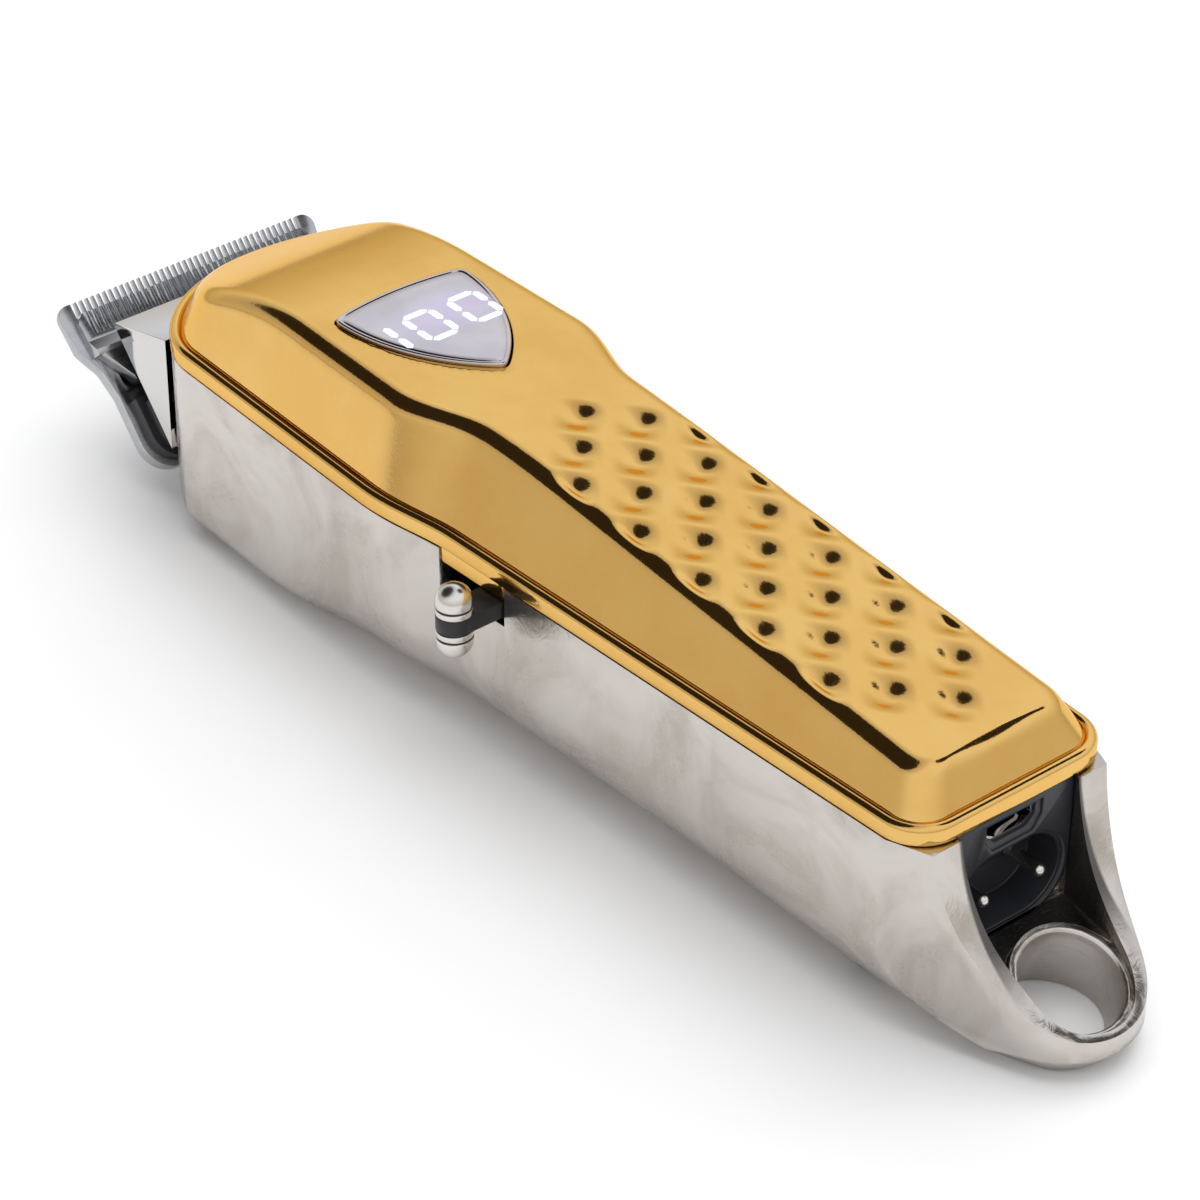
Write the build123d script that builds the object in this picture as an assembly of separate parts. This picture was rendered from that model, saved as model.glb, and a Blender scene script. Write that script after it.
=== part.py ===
from build123d import *
from math import atan2, cos, degrees, radians, sin, sqrt, tan
import os

# Cordless hair clipper. Millimetres, +Z up, lying on its belly.
# Origin: on the flat belly, in the plane of symmetry, half way along the clipper.
# +X runs to the hanging ring, -X to the blade, and -Y is the side with the taper lever.
# The blade set works in its own plane: s runs down the blade from the tooth tips,
# h stands square off its inner face, towards the body.

# ---- driving dimensions ----
RIM_Z = 27.4                # underside of the top cover's rim
RIM_HEIGHT = 2.6
RIM_INSET = 1.5             # from the rim's outside to the foot of the sloping sides
SHADOW_GAP = 0.3            # between cover and housing
HOUSING_TOP = RIM_Z - SHADOW_GAP
COVER_FRONT = -79.2
COVER_TAIL = 73.9
FRONT_R = 21.0              # bow of the front edge, seen from above
CORNER_R = 12.0
TAIL_R = 6.0
CREST_Z = 41.1              # flat crown over the head
TOP_SLOPE = -0.081          # of the handle's top face, towards the tail
LOFT_TOP = 46.0             # height where the sloping sides are laid out
HEAD_LEAN = 5.8             # how far the sides lean in by that height, at the head
HANDLE_LEAN = 9.0           # and along the handle
RIDGE_R = 2.8
COVER_WALL = 1.7
HOUSING_WALL = 2.0
SEAM_X = -71.5              # where the nose cap meets the housing

TIP_X = -92.0               # tooth tips of the fixed blade
TIP_Z = 23.9
BLADE_ANGLE = 48.0          # of the blade plane below the X axis
BLADE_TEETH = 41
BLADE_PITCH = 0.95
BLADE_HALF = 21.6
BLADE_LENGTH = 26.0
BLADE_THICK = 2.1
CUTTER_TEETH = 36
CUTTER_PITCH = 1.045
CUTTER_HALF = 19.4
CUTTER_FIT = 0.04           # film of oil between cutter and blade
BODY_H = 5.8                # height of the nose cap's front face above the blade's inner face
CARRIER_H = 5.4
CARRIER_S = 15.6            # top of the black slide bracket

MOTOR_Z = 20.0
MOTOR_R = 11.0
MOTOR_FRONT = -64.0
MOTOR_REAR = -32.0
ECCENTRICITY = 1.1
CAM_PIN_R = 1.0

PIVOT_Y = -10.0             # taper lever's pivot, at x = 0
LEVER_Z = 23.8
ARM_THICK = 2.4
KNOB_R = 2.4
KNOB_Y = -24.0
CRANK_R = 4.4
LEVER_TURN = 32.0           # degrees
LINK_Z = 16.5
LINK_THICK = 1.5
WINDOW_X = (-9.6, 2.6)      # opening for the lever in the left wall
WINDOW_Z = 21.5
TAB_Z = 25.2                # foot of the cover's tab in that opening

BUTTON_FRONT = -43.4        # shield-shaped button
BUTTON_TIP = -19.7
BUTTON_HALF = 10.4
BUTTON_PROUD = 0.55
BUTTON_GAP = 0.35
BUTTON_TRAVEL = 0.5

DIMPLE_X0 = -5.5            # first dimple
DIMPLE_DX = 5.66
DIMPLE_DY = 5.15
DIMPLE_ROWS = 13
DIMPLE_R = 3.45             # of the dimple's mouth
DIMPLE_DEPTH = 0.95

PANEL_X = 73.4              # outer face of the rear panel
PANEL_HALF = 9.5
PANEL_FOOT = 9.6
PIN_Z = 15.6                # charging pins
PIN_PITCH = 9.0
PIN_R = 0.85
USB_Z = 24.0

RING_X = 83.2               # middle of the hanging ring's bore
RING_Z = 6.0
RING_TILT = 26.0            # the bore leans towards the tail
LIP_R = 7.7                 # raised lip around the bore
FOOT_ROUND = 2.6            # lower edge of the ring
RECESS_Z = 9.4              # floor between the panel and the lip
RING_HOLE_R = 6.6
RING_OUTER_R = 9.9

BATTERY_R = 9.0
BATTERY_X = (8.0, 57.0)
BATTERY_Z = 12.4

REAR_SCREW = (61.0, 9.0)   # and its mirror image
MID_SCREW = (-12.0, 0.0)


# ---- helpers ----
def smooth(t):
    t = min(max(t, 0.0), 1.0)
    return t * t * (3 - 2 * t)


def half_width(x):
    """Half the width of the rim: a wide head, a waist step, and a handle that tapers."""
    head = 20.7 + 0.027 * (x + 24.5)
    handle = 18.05 - 0.0385 * (x - 13.2)
    step = smooth((x + 24) / 16)
    return head + (handle - head) * step


def lean(x):
    """How far the cover's sides lean in between the rim and LOFT_TOP."""
    return HEAD_LEAN + (HANDLE_LEAN - HEAD_LEAN) * smooth((x + 24) / 14)


def belly_radius(x):
    """Radius between side wall and belly: tight at the head, full along the handle."""
    return 6.0 + 7.0 * smooth((x + 48) / 26) - 2.0 * smooth((x - 30) / 40)


def box(x, y, z):
    """Box between the two numbers given for each axis."""
    size = (x[1] - x[0], y[1] - y[0], z[1] - z[0])
    return Pos((x[0] + x[1]) / 2, (y[0] + y[1]) / 2, (z[0] + z[1]) / 2) * Box(*size)


def rod_z(x, y, z0, z1, r):
    return Pos(x, y, (z0 + z1) / 2) * Cylinder(r, z1 - z0)


def rod_x(x0, x1, y, z, r):
    return Pos((x0 + x1) / 2, y, z) * Rot(0, 90, 0) * Cylinder(r, x1 - x0)


def rod_y(x, y0, y1, z, r):
    return Pos(x, (y0 + y1) / 2, z) * Rot(90, 0, 0) * Cylinder(r, y1 - y0)


def blade_point(s, h):
    """Row-frame x and z of a place given down and off the blade."""
    a = radians(BLADE_ANGLE)
    return TIP_X + s * cos(a) + h * sin(a), TIP_Z - s * sin(a) + h * cos(a)


# Sketches on this plane use x for s and y for the clipper's own Y; +Z of the plane is h.
BLADE_PLANE = Plane(
    origin=(TIP_X, 0, TIP_Z),
    x_dir=(cos(radians(BLADE_ANGLE)), 0, -sin(radians(BLADE_ANGLE))),
    z_dir=(sin(radians(BLADE_ANGLE)), 0, cos(radians(BLADE_ANGLE))),
)


def blade_box(s, y, h):
    """Box in blade coordinates, between the two numbers given for each axis."""
    return BLADE_PLANE.location * box(s, y, h)


def blade_rod(s, y, h0, h1, r):
    """Rod that stands square on the blade."""
    return BLADE_PLANE.location * rod_z(s, y, h0, h1, r)


def side_profile(edges, half):
    """Closed outline in X and Z, extruded to both sides of the middle plane."""
    return extrude(Plane.XZ * make_face(edges), half, both=True)


def one(shape):
    """The largest solid of a shape, for cuts that can leave crumbs."""
    return max(shape.solids(), key=lambda solid: solid.volume)


# ---- plan outlines of the cover ----
def plan_outline(z, side, x_front, front_r, corner_r, x_tail, tail_r):
    """Bowed front, two rounded corners, two long sides and a straight tail, at height z."""
    corner_y = side(-63) - corner_r
    reach = front_r - corner_r
    front_c = x_front + front_r
    corner_x = front_c - sqrt(reach**2 - corner_y**2)
    touch_x = front_c + (corner_x - front_c) * front_r / reach
    touch_y = corner_y * front_r / reach
    bend = (atan2(touch_y - corner_y, touch_x - corner_x) + radians(90)) / 2
    mid = (corner_x + corner_r * cos(bend), corner_y + corner_r * sin(bend))
    tail_start = x_tail - tail_r
    tail_y = side(tail_start) - tail_r
    stations = [-54, -38, -26, -19, -12, -5, 8, 28, 48]
    right = [(corner_x, corner_y + corner_r)]
    right += [(x, side(x)) for x in stations]
    right += [(tail_start, side(tail_start))]
    left = [(x, -y) for x, y in right]
    ease = tail_r * (1 - cos(radians(45)))
    tail_mid = (x_tail - ease, tail_y + tail_r - ease)
    edges = [
        ThreePointArc((touch_x, -touch_y), (x_front, 0), (touch_x, touch_y)),
        ThreePointArc((touch_x, touch_y), mid, right[0]),
        Spline(*right),
        ThreePointArc(right[-1], tail_mid, (x_tail, tail_y)),
        Line((x_tail, tail_y), (x_tail, -tail_y)),
        ThreePointArc((x_tail, -tail_y), (tail_mid[0], -tail_mid[1]), left[-1]),
        Spline(*left),
        ThreePointArc(left[0], (mid[0], -mid[1]), (touch_x, -touch_y)),
    ]
    return Pos(0, 0, z) * make_face(edges)


def rim_outline(z, inset):
    return plan_outline(z, lambda x: half_width(x) - inset, COVER_FRONT + inset, FRONT_R - inset,
                        CORNER_R - inset, COVER_TAIL - inset, TAIL_R - inset)


def upper_outline(z, inset):
    return plan_outline(z, lambda x: half_width(x) - lean(x) - inset, COVER_FRONT + 8.9 + inset,
                        16.0 - inset, 9.0 - inset, COVER_TAIL - 8.9 - inset, 4.0 - inset)


def crown(drop):
    """Everything below the cover's top surface, which is domed in front and falls to the tail."""
    knee = (-6.0, CREST_Z - drop)
    tail = (80.0, CREST_Z - drop + TOP_SLOPE * 86.0)
    dome = Spline((-81.0, 29.6 - drop), (-72.0, 34.0 - drop), (-62.0, 38.2 - drop), (-46.0, CREST_Z - drop),
                  tangents=((1, 0.62), (1, 0)))
    high = CREST_Z - drop
    bend = Spline((-16.0, high), (4.0, high + TOP_SLOPE * 10), tangents=((1, 0), (1, TOP_SLOPE)))
    edges = [
        dome,
        Line((-46.0, CREST_Z - drop), (-16.0, CREST_Z - drop)),
        bend,
        Line((4.0, knee[1] + TOP_SLOPE * 10), tail),
        Line(tail, (80.0, 10.0)),
        Line((80.0, 10.0), (-81.0, 10.0)),
        Line((-81.0, 10.0), (-81.0, 29.6 - drop)),
    ]
    return side_profile(edges, 30)


def cover_block(inset, drop):
    """Solid between the rim's top and the crown, with leaning sides."""
    foot = rim_outline(RIM_Z + RIM_HEIGHT - 0.4, RIM_INSET + inset)
    head = upper_outline(LOFT_TOP, RIM_INSET + inset)
    return loft([foot, head], ruled=True) & crown(drop)


def top_height(x):
    """Height of the handle's flat top face."""
    return CREST_Z + TOP_SLOPE * (x + 6.0)


def dimples():
    """Staggered grid of shallow spherical pits; the outer rows bite into the ridges."""
    ball = (DIMPLE_R**2 + DIMPLE_DEPTH**2) / (2 * DIMPLE_DEPTH)
    pits = []
    for row in range(DIMPLE_ROWS):
        x = DIMPLE_X0 + row * DIMPLE_DX
        if row in (0, DIMPLE_ROWS - 1):
            columns = (0,)
        elif row % 2:
            columns = (-1, 1)
        else:
            columns = (-2, 0, 2)
        for column in columns:
            z = top_height(x) - DIMPLE_DEPTH + ball
            pits.append(Pos(x, column * DIMPLE_DY, z) * Sphere(ball))
    return pits


def shield(grow):
    """Outline of the button: a bowed front edge and two curved sides that meet at the rear."""
    front = BUTTON_FRONT
    half = BUTTON_HALF
    edges = [
        ThreePointArc((front + 1.2, -half), (front, 0), (front + 1.2, half)),
        ThreePointArc((front + 1.2, half), (-29.5, 7.6), (BUTTON_TIP, 0)),
        ThreePointArc((BUTTON_TIP, 0), (-29.5, -7.6), (front + 1.2, -half)),
    ]
    face = make_face(edges)
    if grow:
        face = offset(face, grow, kind=Kind.INTERSECTION)
    return fillet(face.vertices(), 1.6)


# ---- casing ----
NOSE_TOP = (blade_point(0, 0)[0] + 7.7, 24.05)      # front edge of the nose cap's top plane
NOSE_BACK = (SEAM_X, HOUSING_TOP)


def blade_face_z(x):
    """Height of the casing's sloping front face at x."""
    return NOSE_TOP[1] - (x - NOSE_TOP[0]) * tan(radians(BLADE_ANGLE))


def make_top_cover():
    body = cover_block(0, 0)
    top_edges = [edge for edge in body.edges() if edge.center().Z > RIM_Z + RIM_HEIGHT + 1]
    ridge = [edge for edge in top_edges if abs(edge.bounding_box().size.Z) < 14]
    side_seams = [edge for edge in top_edges if edge.bounding_box().min.Z < RIM_Z + RIM_HEIGHT]
    ridge = [edge for edge in ridge if edge not in side_seams]
    body = fillet(ridge, RIDGE_R)
    rim = extrude(rim_outline(RIM_Z, 0), RIM_HEIGHT)
    rim = fillet(rim.faces().sort_by(Axis.Z)[-1].edges(), 0.9)
    skirt = extrude(rim_outline(NOSE_TOP[1] - 2, 0.2), RIM_Z - NOSE_TOP[1] + 2.5)
    slope = side_profile([
        Line(NOSE_TOP, NOSE_BACK),
        Line(NOSE_BACK, (SEAM_X, RIM_Z + 1)),
        Line((SEAM_X, RIM_Z + 1), (NOSE_TOP[0], RIM_Z + 1)),
        Line((NOSE_TOP[0], RIM_Z + 1), NOSE_TOP),
    ], 30)
    skirt = skirt & (Pos(-0.1, 0, 0.2) * slope)
    cover = body + rim + skirt
    hollow = cover_block(COVER_WALL, COVER_WALL)
    cover -= hollow
    cover -= extrude(rim_outline(NOSE_TOP[1] - 4, RIM_INSET + COVER_WALL - 0.5), 30.2 - NOSE_TOP[1] + 4)
    cover -= dimples()
    cover -= extrude(Pos(0, 0, CREST_Z - 4) * shield(BUTTON_GAP), 8)
    for x, y in (MID_SCREW, REAR_SCREW, (REAR_SCREW[0], -REAR_SCREW[1])):
        post = rod_z(x, y, HOUSING_TOP + 0.2, 44, 2.8) & cover_block(0.6, 0.6)
        foot = rod_z(x, y, HOUSING_TOP + 0.2, RIM_Z + RIM_HEIGHT, 2.8)
        cover += post + foot
        cover -= rod_z(x, y, 20, 33.0, 1.1)
    wall = extrude(rim_outline(TAB_Z, 0.15), RIM_Z - TAB_Z + 0.5) - extrude(rim_outline(TAB_Z - 1, 1.9), 6)
    tab = wall & box((WINDOW_X[0] + 0.25, WINDOW_X[1] - 0.25), (-30, 0), (TAB_Z, RIM_Z + 0.5))
    return one(cover + tab)


def make_gasket():
    """Thin black seal that shows as a dark line under the rim."""
    ring = extrude(rim_outline(HOUSING_TOP, 0.5), SHADOW_GAP)
    ring -= extrude(rim_outline(HOUSING_TOP - 1, 1.9), 3)
    ring -= box((-90, SEAM_X + 0.3), (-30, 30), (20, 30))
    ring -= box((WINDOW_X[0] - 0.1, WINDOW_X[1] + 0.1), (-30, 0), (20, 30))
    return one(ring)


def u_section(x, inset, top):
    """Cross-section of the housing: straight walls, rounded corners and a flat belly."""
    half = half_width(x) - inset - 0.15
    corners = [(-half, top), (-half, inset), (half, inset), (half, top)]
    edges = [FilletPolyline(*corners, radius=belly_radius(x) - inset), Line(corners[3], corners[0])]
    return Plane.YZ.offset(x) * make_face(edges)


def trough(x0, x1, inset, top):
    """Loft of such sections from x0 to x1."""
    count = round((x1 - x0) / 6)
    stations = [x0 + (x1 - x0) * i / count for i in range(count + 1)]
    return loft([u_section(x, inset, top) for x in stations])


RING_PLANE = Plane(
    origin=(RING_X, 0, RING_Z),
    x_dir=(cos(radians(RING_TILT)), 0, -sin(radians(RING_TILT))),
    z_dir=(sin(radians(RING_TILT)), 0, cos(radians(RING_TILT))),
)


def panel_outline(x, grow):
    """Rear panel's shape: square at the top, round at the foot."""
    half = PANEL_HALF + grow
    foot = PANEL_FOOT - grow
    top = 40.0
    edges = [
        FilletPolyline((-half, top), (-half, foot), (half, foot), (half, top), radius=6.0 + grow),
        Line((half, top), (-half, top)),
    ]
    return Plane.YZ.offset(x) * make_face(edges)


def make_lower_housing():
    # outside: cross-sections, cut to the side view and to the plan
    tail_top = Spline((74.3, HOUSING_TOP), (75.6, 21.5), (79.4, 14.6), (85.0, 9.8), (89.5, 6.8), (94.0, 5.2))
    foot_x = -65.2
    front = (foot_x, blade_face_z(foot_x))
    belly = Spline(front, (-47.0, 0.0), tangents=((1, -0.45), (1, 0)))
    heel = Spline((86.5, 0.0), (94.0, 4.0), tangents=((1, 0), (0.7, 1)))
    side = side_profile([
        Line((SEAM_X, HOUSING_TOP), (SEAM_X, blade_face_z(SEAM_X))),
        Line((SEAM_X, blade_face_z(SEAM_X)), front),
        belly,
        Line((-47.0, 0.0), (86.5, 0.0)),
        heel,
        Line((94.0, 4.0), (94.0, 5.2)),
        tail_top,
        Line((74.3, HOUSING_TOP), (SEAM_X, HOUSING_TOP)),
    ], 30)
    tail_start = Line((68.0, -16.0), (68.0, 16.0))
    ring_edge = Pos(RING_X - 0.7, 0) * Edge.make_circle(RING_OUTER_R)
    tail_plan = Pos(0, 0, -1) * make_hull([tail_start, ring_edge])
    foot_edge = Pos(RING_X - 0.7, 0) * Edge.make_circle(RING_OUTER_R - FOOT_ROUND)
    tail_foot = extrude(Pos(0, 0, -0.2) * make_hull([tail_start, foot_edge]), FOOT_ROUND + 1, taper=-38)
    tail = extrude(tail_plan, 40)
    tail = (tail & box((60, 100), (-30, 30), (FOOT_ROUND + 0.6, 50))) + (tail & tail_foot)
    front_plan = extrude(rim_outline(-1, 0.15), 40) & box((-90, 40), (-30, 30), (-2, 40))
    plan = front_plan + (box((39.9, 68.0), (-30, 30), (-1, 39)) + tail)
    body = Pos(0, 0, -0.05) * trough(-84, 95, 0, HOUSING_TOP + 0.2) & side & plan

    # inside: open at the top, with a sloping front wall and a solid tail
    hollow = trough(-84, 66, HOUSING_WALL, 40)
    wall = HOUSING_WALL / sin(radians(BLADE_ANGLE))
    slope = side_profile([
        Line((SEAM_X - 2, 45), (SEAM_X - 2, blade_face_z(SEAM_X - 2 - wall))),
        Line((SEAM_X - 2, blade_face_z(SEAM_X - 2 - wall)), (-60.0, blade_face_z(-60.0 - wall))),
        Line((-60.0, blade_face_z(-60.0 - wall)), (70, -2)),
        Line((70, -2), (70, 45)),
        Line((70, 45), (SEAM_X - 2, 45)),
    ], 30)
    lifted = Pos(0, 0, 1.6) * hollow & box((-90, -46), (-30, 30), (0, 50))
    front_part = hollow & lifted & slope
    rear_part = hollow & box((-46, 66), (-30, 30), (0, 50))
    body -= front_part + rear_part

    # window for the lever, and the opening behind the blade
    body -= box(WINDOW_X, (-30, -14), (WINDOW_Z, 40))
    body -= blade_box((8, 23), (-16.2, 9), (BODY_H - 3, BODY_H + 6))

    # tail: seat of the rear panel, scoop behind it, and the ring's bore
    body -= extrude(panel_outline(65, 0.1), PANEL_X + 0.1 - 65)
    scoop_front = Line((72.0, -9.6), (72.0, 9.6))
    scoop_ring = Pos(RING_X + 0.9, 0) * Edge.make_circle(7.4)
    scoop = extrude(Pos(0, 0, -10) * make_hull([scoop_front, scoop_ring]), 50)
    above_ring = RING_PLANE.location * box((-20, 20), (-20, 20), (2.4, 40))
    above_floor = box((70, 84), (-20, 20), (RECESS_Z, 40)) - RING_PLANE.location * Cylinder(LIP_R, 60)
    body -= scoop & (above_ring + above_floor)
    body -= RING_PLANE.location * Cylinder(RING_HOLE_R, 60)
    bore_rim = [e for e in body.edges().filter_by(GeomType.CIRCLE) if abs(e.radius - RING_HOLE_R) < 0.01]
    body = fillet(bore_rim, 0.5)

    # posts inside, and the screw holes up through the belly
    for x, y in (MID_SCREW, REAR_SCREW, (REAR_SCREW[0], -REAR_SCREW[1])):
        post = rod_z(x, y, 0.4, HOUSING_TOP, 3.3) & trough(-84, 66, 0.5, HOUSING_TOP)
        body += post
        body -= rod_z(x, y, -1, 2.6, 2.6)
        body -= rod_z(x, y, -1, 40, 1.25)
    boss = rod_z(0, PIVOT_Y, 0.4, 22.3, 2.0) + rod_z(0, PIVOT_Y, 0.4, 14.0, 3.4)
    body += boss & trough(-30, 30, 0.5, HOUSING_TOP)
    body -= rod_z(0, PIVOT_Y, 12, 30, 1.0)
    return one(body)


def make_nose_cap():
    """Hollow wedge in front of the housing, with a sloping top and a front face along the blade."""
    foot = (SEAM_X - 0.12, blade_face_z(SEAM_X - 0.12))
    back = (SEAM_X - 0.12, NOSE_BACK[1] - 0.05)
    def wedge(inset):
        a = radians(BLADE_ANGLE)
        lift = inset / sin(a)
        top = (NOSE_TOP[0] + inset * 1.9, NOSE_TOP[1] - inset * 0.6)
        return side_profile([
            Line(top, (back[0] + inset, back[1] - inset)),
            Line((back[0] + inset, back[1] - inset), (back[0] + inset, foot[1] + lift)),
            Line((back[0] + inset, foot[1] + lift), top),
        ], 17.1 - inset)
    cap = wedge(0)
    cap = fillet(cap.edges().filter_by(Axis.Y).sort_by(Axis.X)[0], 0.5)
    cap -= wedge(1.6)
    cap -= box((back[0] - 3.0, back[0] + 1), (-15.4, 15.4), (foot[1] + 2.5, 25.4))
    cap -= blade_box((6.5, 24), (-9, 9), (BODY_H - 3, BODY_H + 12)) & box((-90, -60), (-20, 20), (0, 24.6))
    cap -= blade_box((15.5, 24), (-15.8, -11.0), (BODY_H - 3, BODY_H + 5))
    return one(cap)


def make_rear_panel():
    panel = extrude(panel_outline(66.6, -0.05), PANEL_X - 66.6) & box((60, 80), (-20, 20), (0, HOUSING_TOP))
    socket = Plane.YZ.offset(PANEL_X) * Pos(0, PIN_Z) * SlotOverall(16.0, 10.6)
    rim = Plane.YZ.offset(PANEL_X) * Pos(0, PIN_Z) * SlotOverall(17.4, 11.6)
    panel -= extrude(socket, -5.2)
    panel -= extrude(rim, -0.35)
    panel += box((PANEL_X - 5.2, PANEL_X - 0.8), (-0.7, 0.7), (PIN_Z + 4.3, PIN_Z + 5.4))
    usb = Plane.YZ.offset(PANEL_X) * usb_outline(0.0)
    panel -= extrude(usb, -8)
    lip = Plane.YZ.offset(PANEL_X) * usb_outline(0.7)
    panel -= extrude(lip, -0.5)
    for side in (-1, 1):
        panel -= rod_x(60, 70, side * PIN_PITCH / 2, PIN_Z, PIN_R)
    return one(panel)


def usb_outline(grow):
    """Slot for a small charging plug: flat on top, chamfered at the foot."""
    half = 3.8 + grow
    top = USB_Z + 1.35 + grow
    foot = USB_Z - 1.35 - grow
    return make_face(Polyline((-half, top), (half, top), (half, USB_Z - 0.2), (half - 1.3, foot),
                              (-half + 1.3, foot), (-half, USB_Z - 0.2), close=True))


def make_charging_pins():
    """Two round-tipped contact pins."""
    pins = []
    for side in (-1, 1):
        pin = rod_x(65.0, PANEL_X, side * PIN_PITCH / 2, PIN_Z, PIN_R)
        pins.append(pin + Pos(PANEL_X, side * PIN_PITCH / 2, PIN_Z) * Sphere(PIN_R))
    return Compound(pins)


def make_usb_socket():
    """Folded metal shell with a tongue inside."""
    shell = extrude(Plane.YZ.offset(65.2) * usb_outline(-0.08), PANEL_X - 66.2)
    shell -= extrude(Plane.YZ.offset(66.0) * usb_outline(-0.4), 10)
    return shell + box((65.6, 70.6), (-2.6, 2.6), (USB_Z - 0.1, USB_Z + 0.6))


# ---- blade set ----
def blade_outline():
    """Outline of the fixed blade: wide toothed front, neck, and a mounting plate with round corners."""
    half = BLADE_HALF
    right = [(0.0, half), (6.6, half - 0.9), (10.2, 18.7), (14.2, 18.0), (BLADE_LENGTH, 18.0)]
    left = [(s, -y) for s, y in reversed(right)]
    face = make_face(Polyline(*right, *left, close=True))
    face = fillet([v for v in face.vertices() if v.X < 0.1], 1.8)
    face = fillet([v for v in face.vertices() if v.X > 25], 4.5)
    return fillet([v for v in face.vertices() if 9 < v.X < 15], 3.0)


def tooth_gaps(count, pitch, s0, s1, gap, depth):
    """Tapered slots between teeth, as one list of cutters in blade coordinates."""
    cutters = []
    for i in range(count - 1):
        y = (i - (count - 2) / 2) * pitch
        slot = make_face(Polyline((s0, y - gap * 0.8), (s0, y + gap * 0.8), (s1, y + gap * 0.35),
                                  (s1, y - gap * 0.35), close=True))
        cutters.append(BLADE_PLANE.location * (Pos(0, 0, depth[0]) * extrude(slot, depth[1] - depth[0])))
    return cutters


def make_fixed_blade():
    plate = extrude(Pos(0, 0, -BLADE_THICK) * blade_outline(), BLADE_THICK)
    plate = BLADE_PLANE.location * plate
    # the outer face is ground away towards the tips
    face = -BLADE_THICK
    grind = Plane.XZ * make_face(Polyline(
        (-1, -0.55), (-1, -6), (12, -6), (12, face), (7.5, face), close=True))
    plate -= BLADE_PLANE.location * extrude(grind, 40, both=True)
    # shallow hollow behind the teeth on the inner face
    plate -= blade_box((7.4, CARRIER_S + 0.5), (-16.6, 16.6), (-0.5, 1))
    plate -= tooth_gaps(BLADE_TEETH, BLADE_PITCH, -1, 4.6, 0.46, (-3, 1))
    for side in (-1, 1):
        plate -= blade_rod(20.8, side * 9.0, -3, 1, 1.75)
    return one(plate)


def make_moving_cutter():
    """Toothed slider with a raised back, pressed on the fixed blade's inner face."""
    h0 = CUTTER_FIT
    profile = Plane.XZ * make_face(Polyline(
        (1.7, h0), (1.9, h0 + 0.9), (5.9, h0 + 1.35), (7.4, h0 + 2.7),
        (12.6, h0 + 2.7), (13.4, h0 + 1.9), (13.4, h0), close=True))
    cutter = BLADE_PLANE.location * extrude(profile, CUTTER_HALF, both=True)
    trim = fillet(chamfer(Rectangle(26, 2 * CUTTER_HALF).vertices(), 1.2).vertices(), 0.6)
    cutter &= BLADE_PLANE.location * extrude(Pos(14.7, 0, -1) * trim, 8)
    for side in (-1, 1):
        corner = make_face(Polyline(
            (8.2, side * 21), (8.2, side * 18.6), (13.6, side * 15.2),
            (14.5, side * 15.2), (14.5, side * 21), close=True))
        cutter -= BLADE_PLANE.location * extrude(Pos(0, 0, -1) * corner, 8)
    cutter -= tooth_gaps(CUTTER_TEETH, CUTTER_PITCH, 0.5, 5.2, 0.5, (-1, 3))
    cutter -= blade_box((8.6, 11.4), (-3.4, 3.4), (1.2, 5))
    for side in (-1, 1):
        cutter -= blade_box((9.2, 11.2), (side * 10 - 2.2, side * 10 + 2.2), (2.0, 5))
    return one(cutter)


def make_cutter_follower():
    """Plastic fork that turns the cam pin's circle into the cutter's side-to-side stroke."""
    h0 = CUTTER_FIT
    peg = blade_box((8.7, 11.3), (-3.3, 3.3), (1.3, h0 + 3.2))
    base = blade_box((7.8, 12.4), (-5.4, 5.4), (h0 + 2.75, h0 + 4.4))
    fork = box((-81.9, -75.0), (-5.0, 5.0), (15.4, 24.0)) & blade_box((5.5, 17.5), (-6, 6), (h0 + 3.0, 15))
    follower = peg + base + fork
    # open at the top, and wide enough for the pin wherever the cutter stands
    slot_half = 2 * ECCENTRICITY + CAM_PIN_R + 0.15
    floor = MOTOR_Z - ECCENTRICITY - CAM_PIN_R - 0.3
    follower -= box((-81.0, -70), (-slot_half, slot_half), (floor, 30.0))
    return one(follower)


def make_blade_carrier():
    """Black slide that holds the blade plate and carries it down when the lever moves."""
    outline = make_face(Polyline((CARRIER_S, 17.2), (BLADE_LENGTH - 0.7, 17.2), (BLADE_LENGTH - 0.7, -17.2),
                                 (CARRIER_S, -17.2), close=True))
    outline = fillet([v for v in outline.vertices() if v.X > 20], 4.2)
    inner = extrude(outline, 2.6)
    step = extrude(offset(outline, -0.9), CARRIER_H)
    carrier = BLADE_PLANE.location * (inner + step)
    # pocket for the spring's foot
    carrier -= blade_box((CARRIER_S - 1, 22.6), (-12.2, 12.2), (CARRIER_H - 0.95, CARRIER_H + 1))
    # ear with a slot that the adjuster link's pin works in
    ear = blade_box((17.2, 21.4), (-13.6, -11.9), (CARRIER_H - 1, 13.4))
    slot_s, slot_h = link_pin_place()
    slot = blade_box((slot_s - 1.15, slot_s + 1.15), (-15, -11), (slot_h - 1.4, slot_h + 3.2))
    carrier += ear
    carrier -= slot
    for side in (-1, 1):
        carrier -= blade_rod(20.8, side * 9.0, -1, 3.4, 1.3)
        carrier -= blade_rod(19.2, side * 5.0, 3.0, CARRIER_H, 0.9)
    return one(carrier)


def link_pin_place():
    """Blade coordinates of the adjuster link's pin."""
    a = radians(BLADE_ANGLE)
    x = -73.2
    dx = x - TIP_X
    dz = LINK_Z - TIP_Z
    return dx * cos(a) - dz * sin(a), dx * sin(a) + dz * cos(a)


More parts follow.
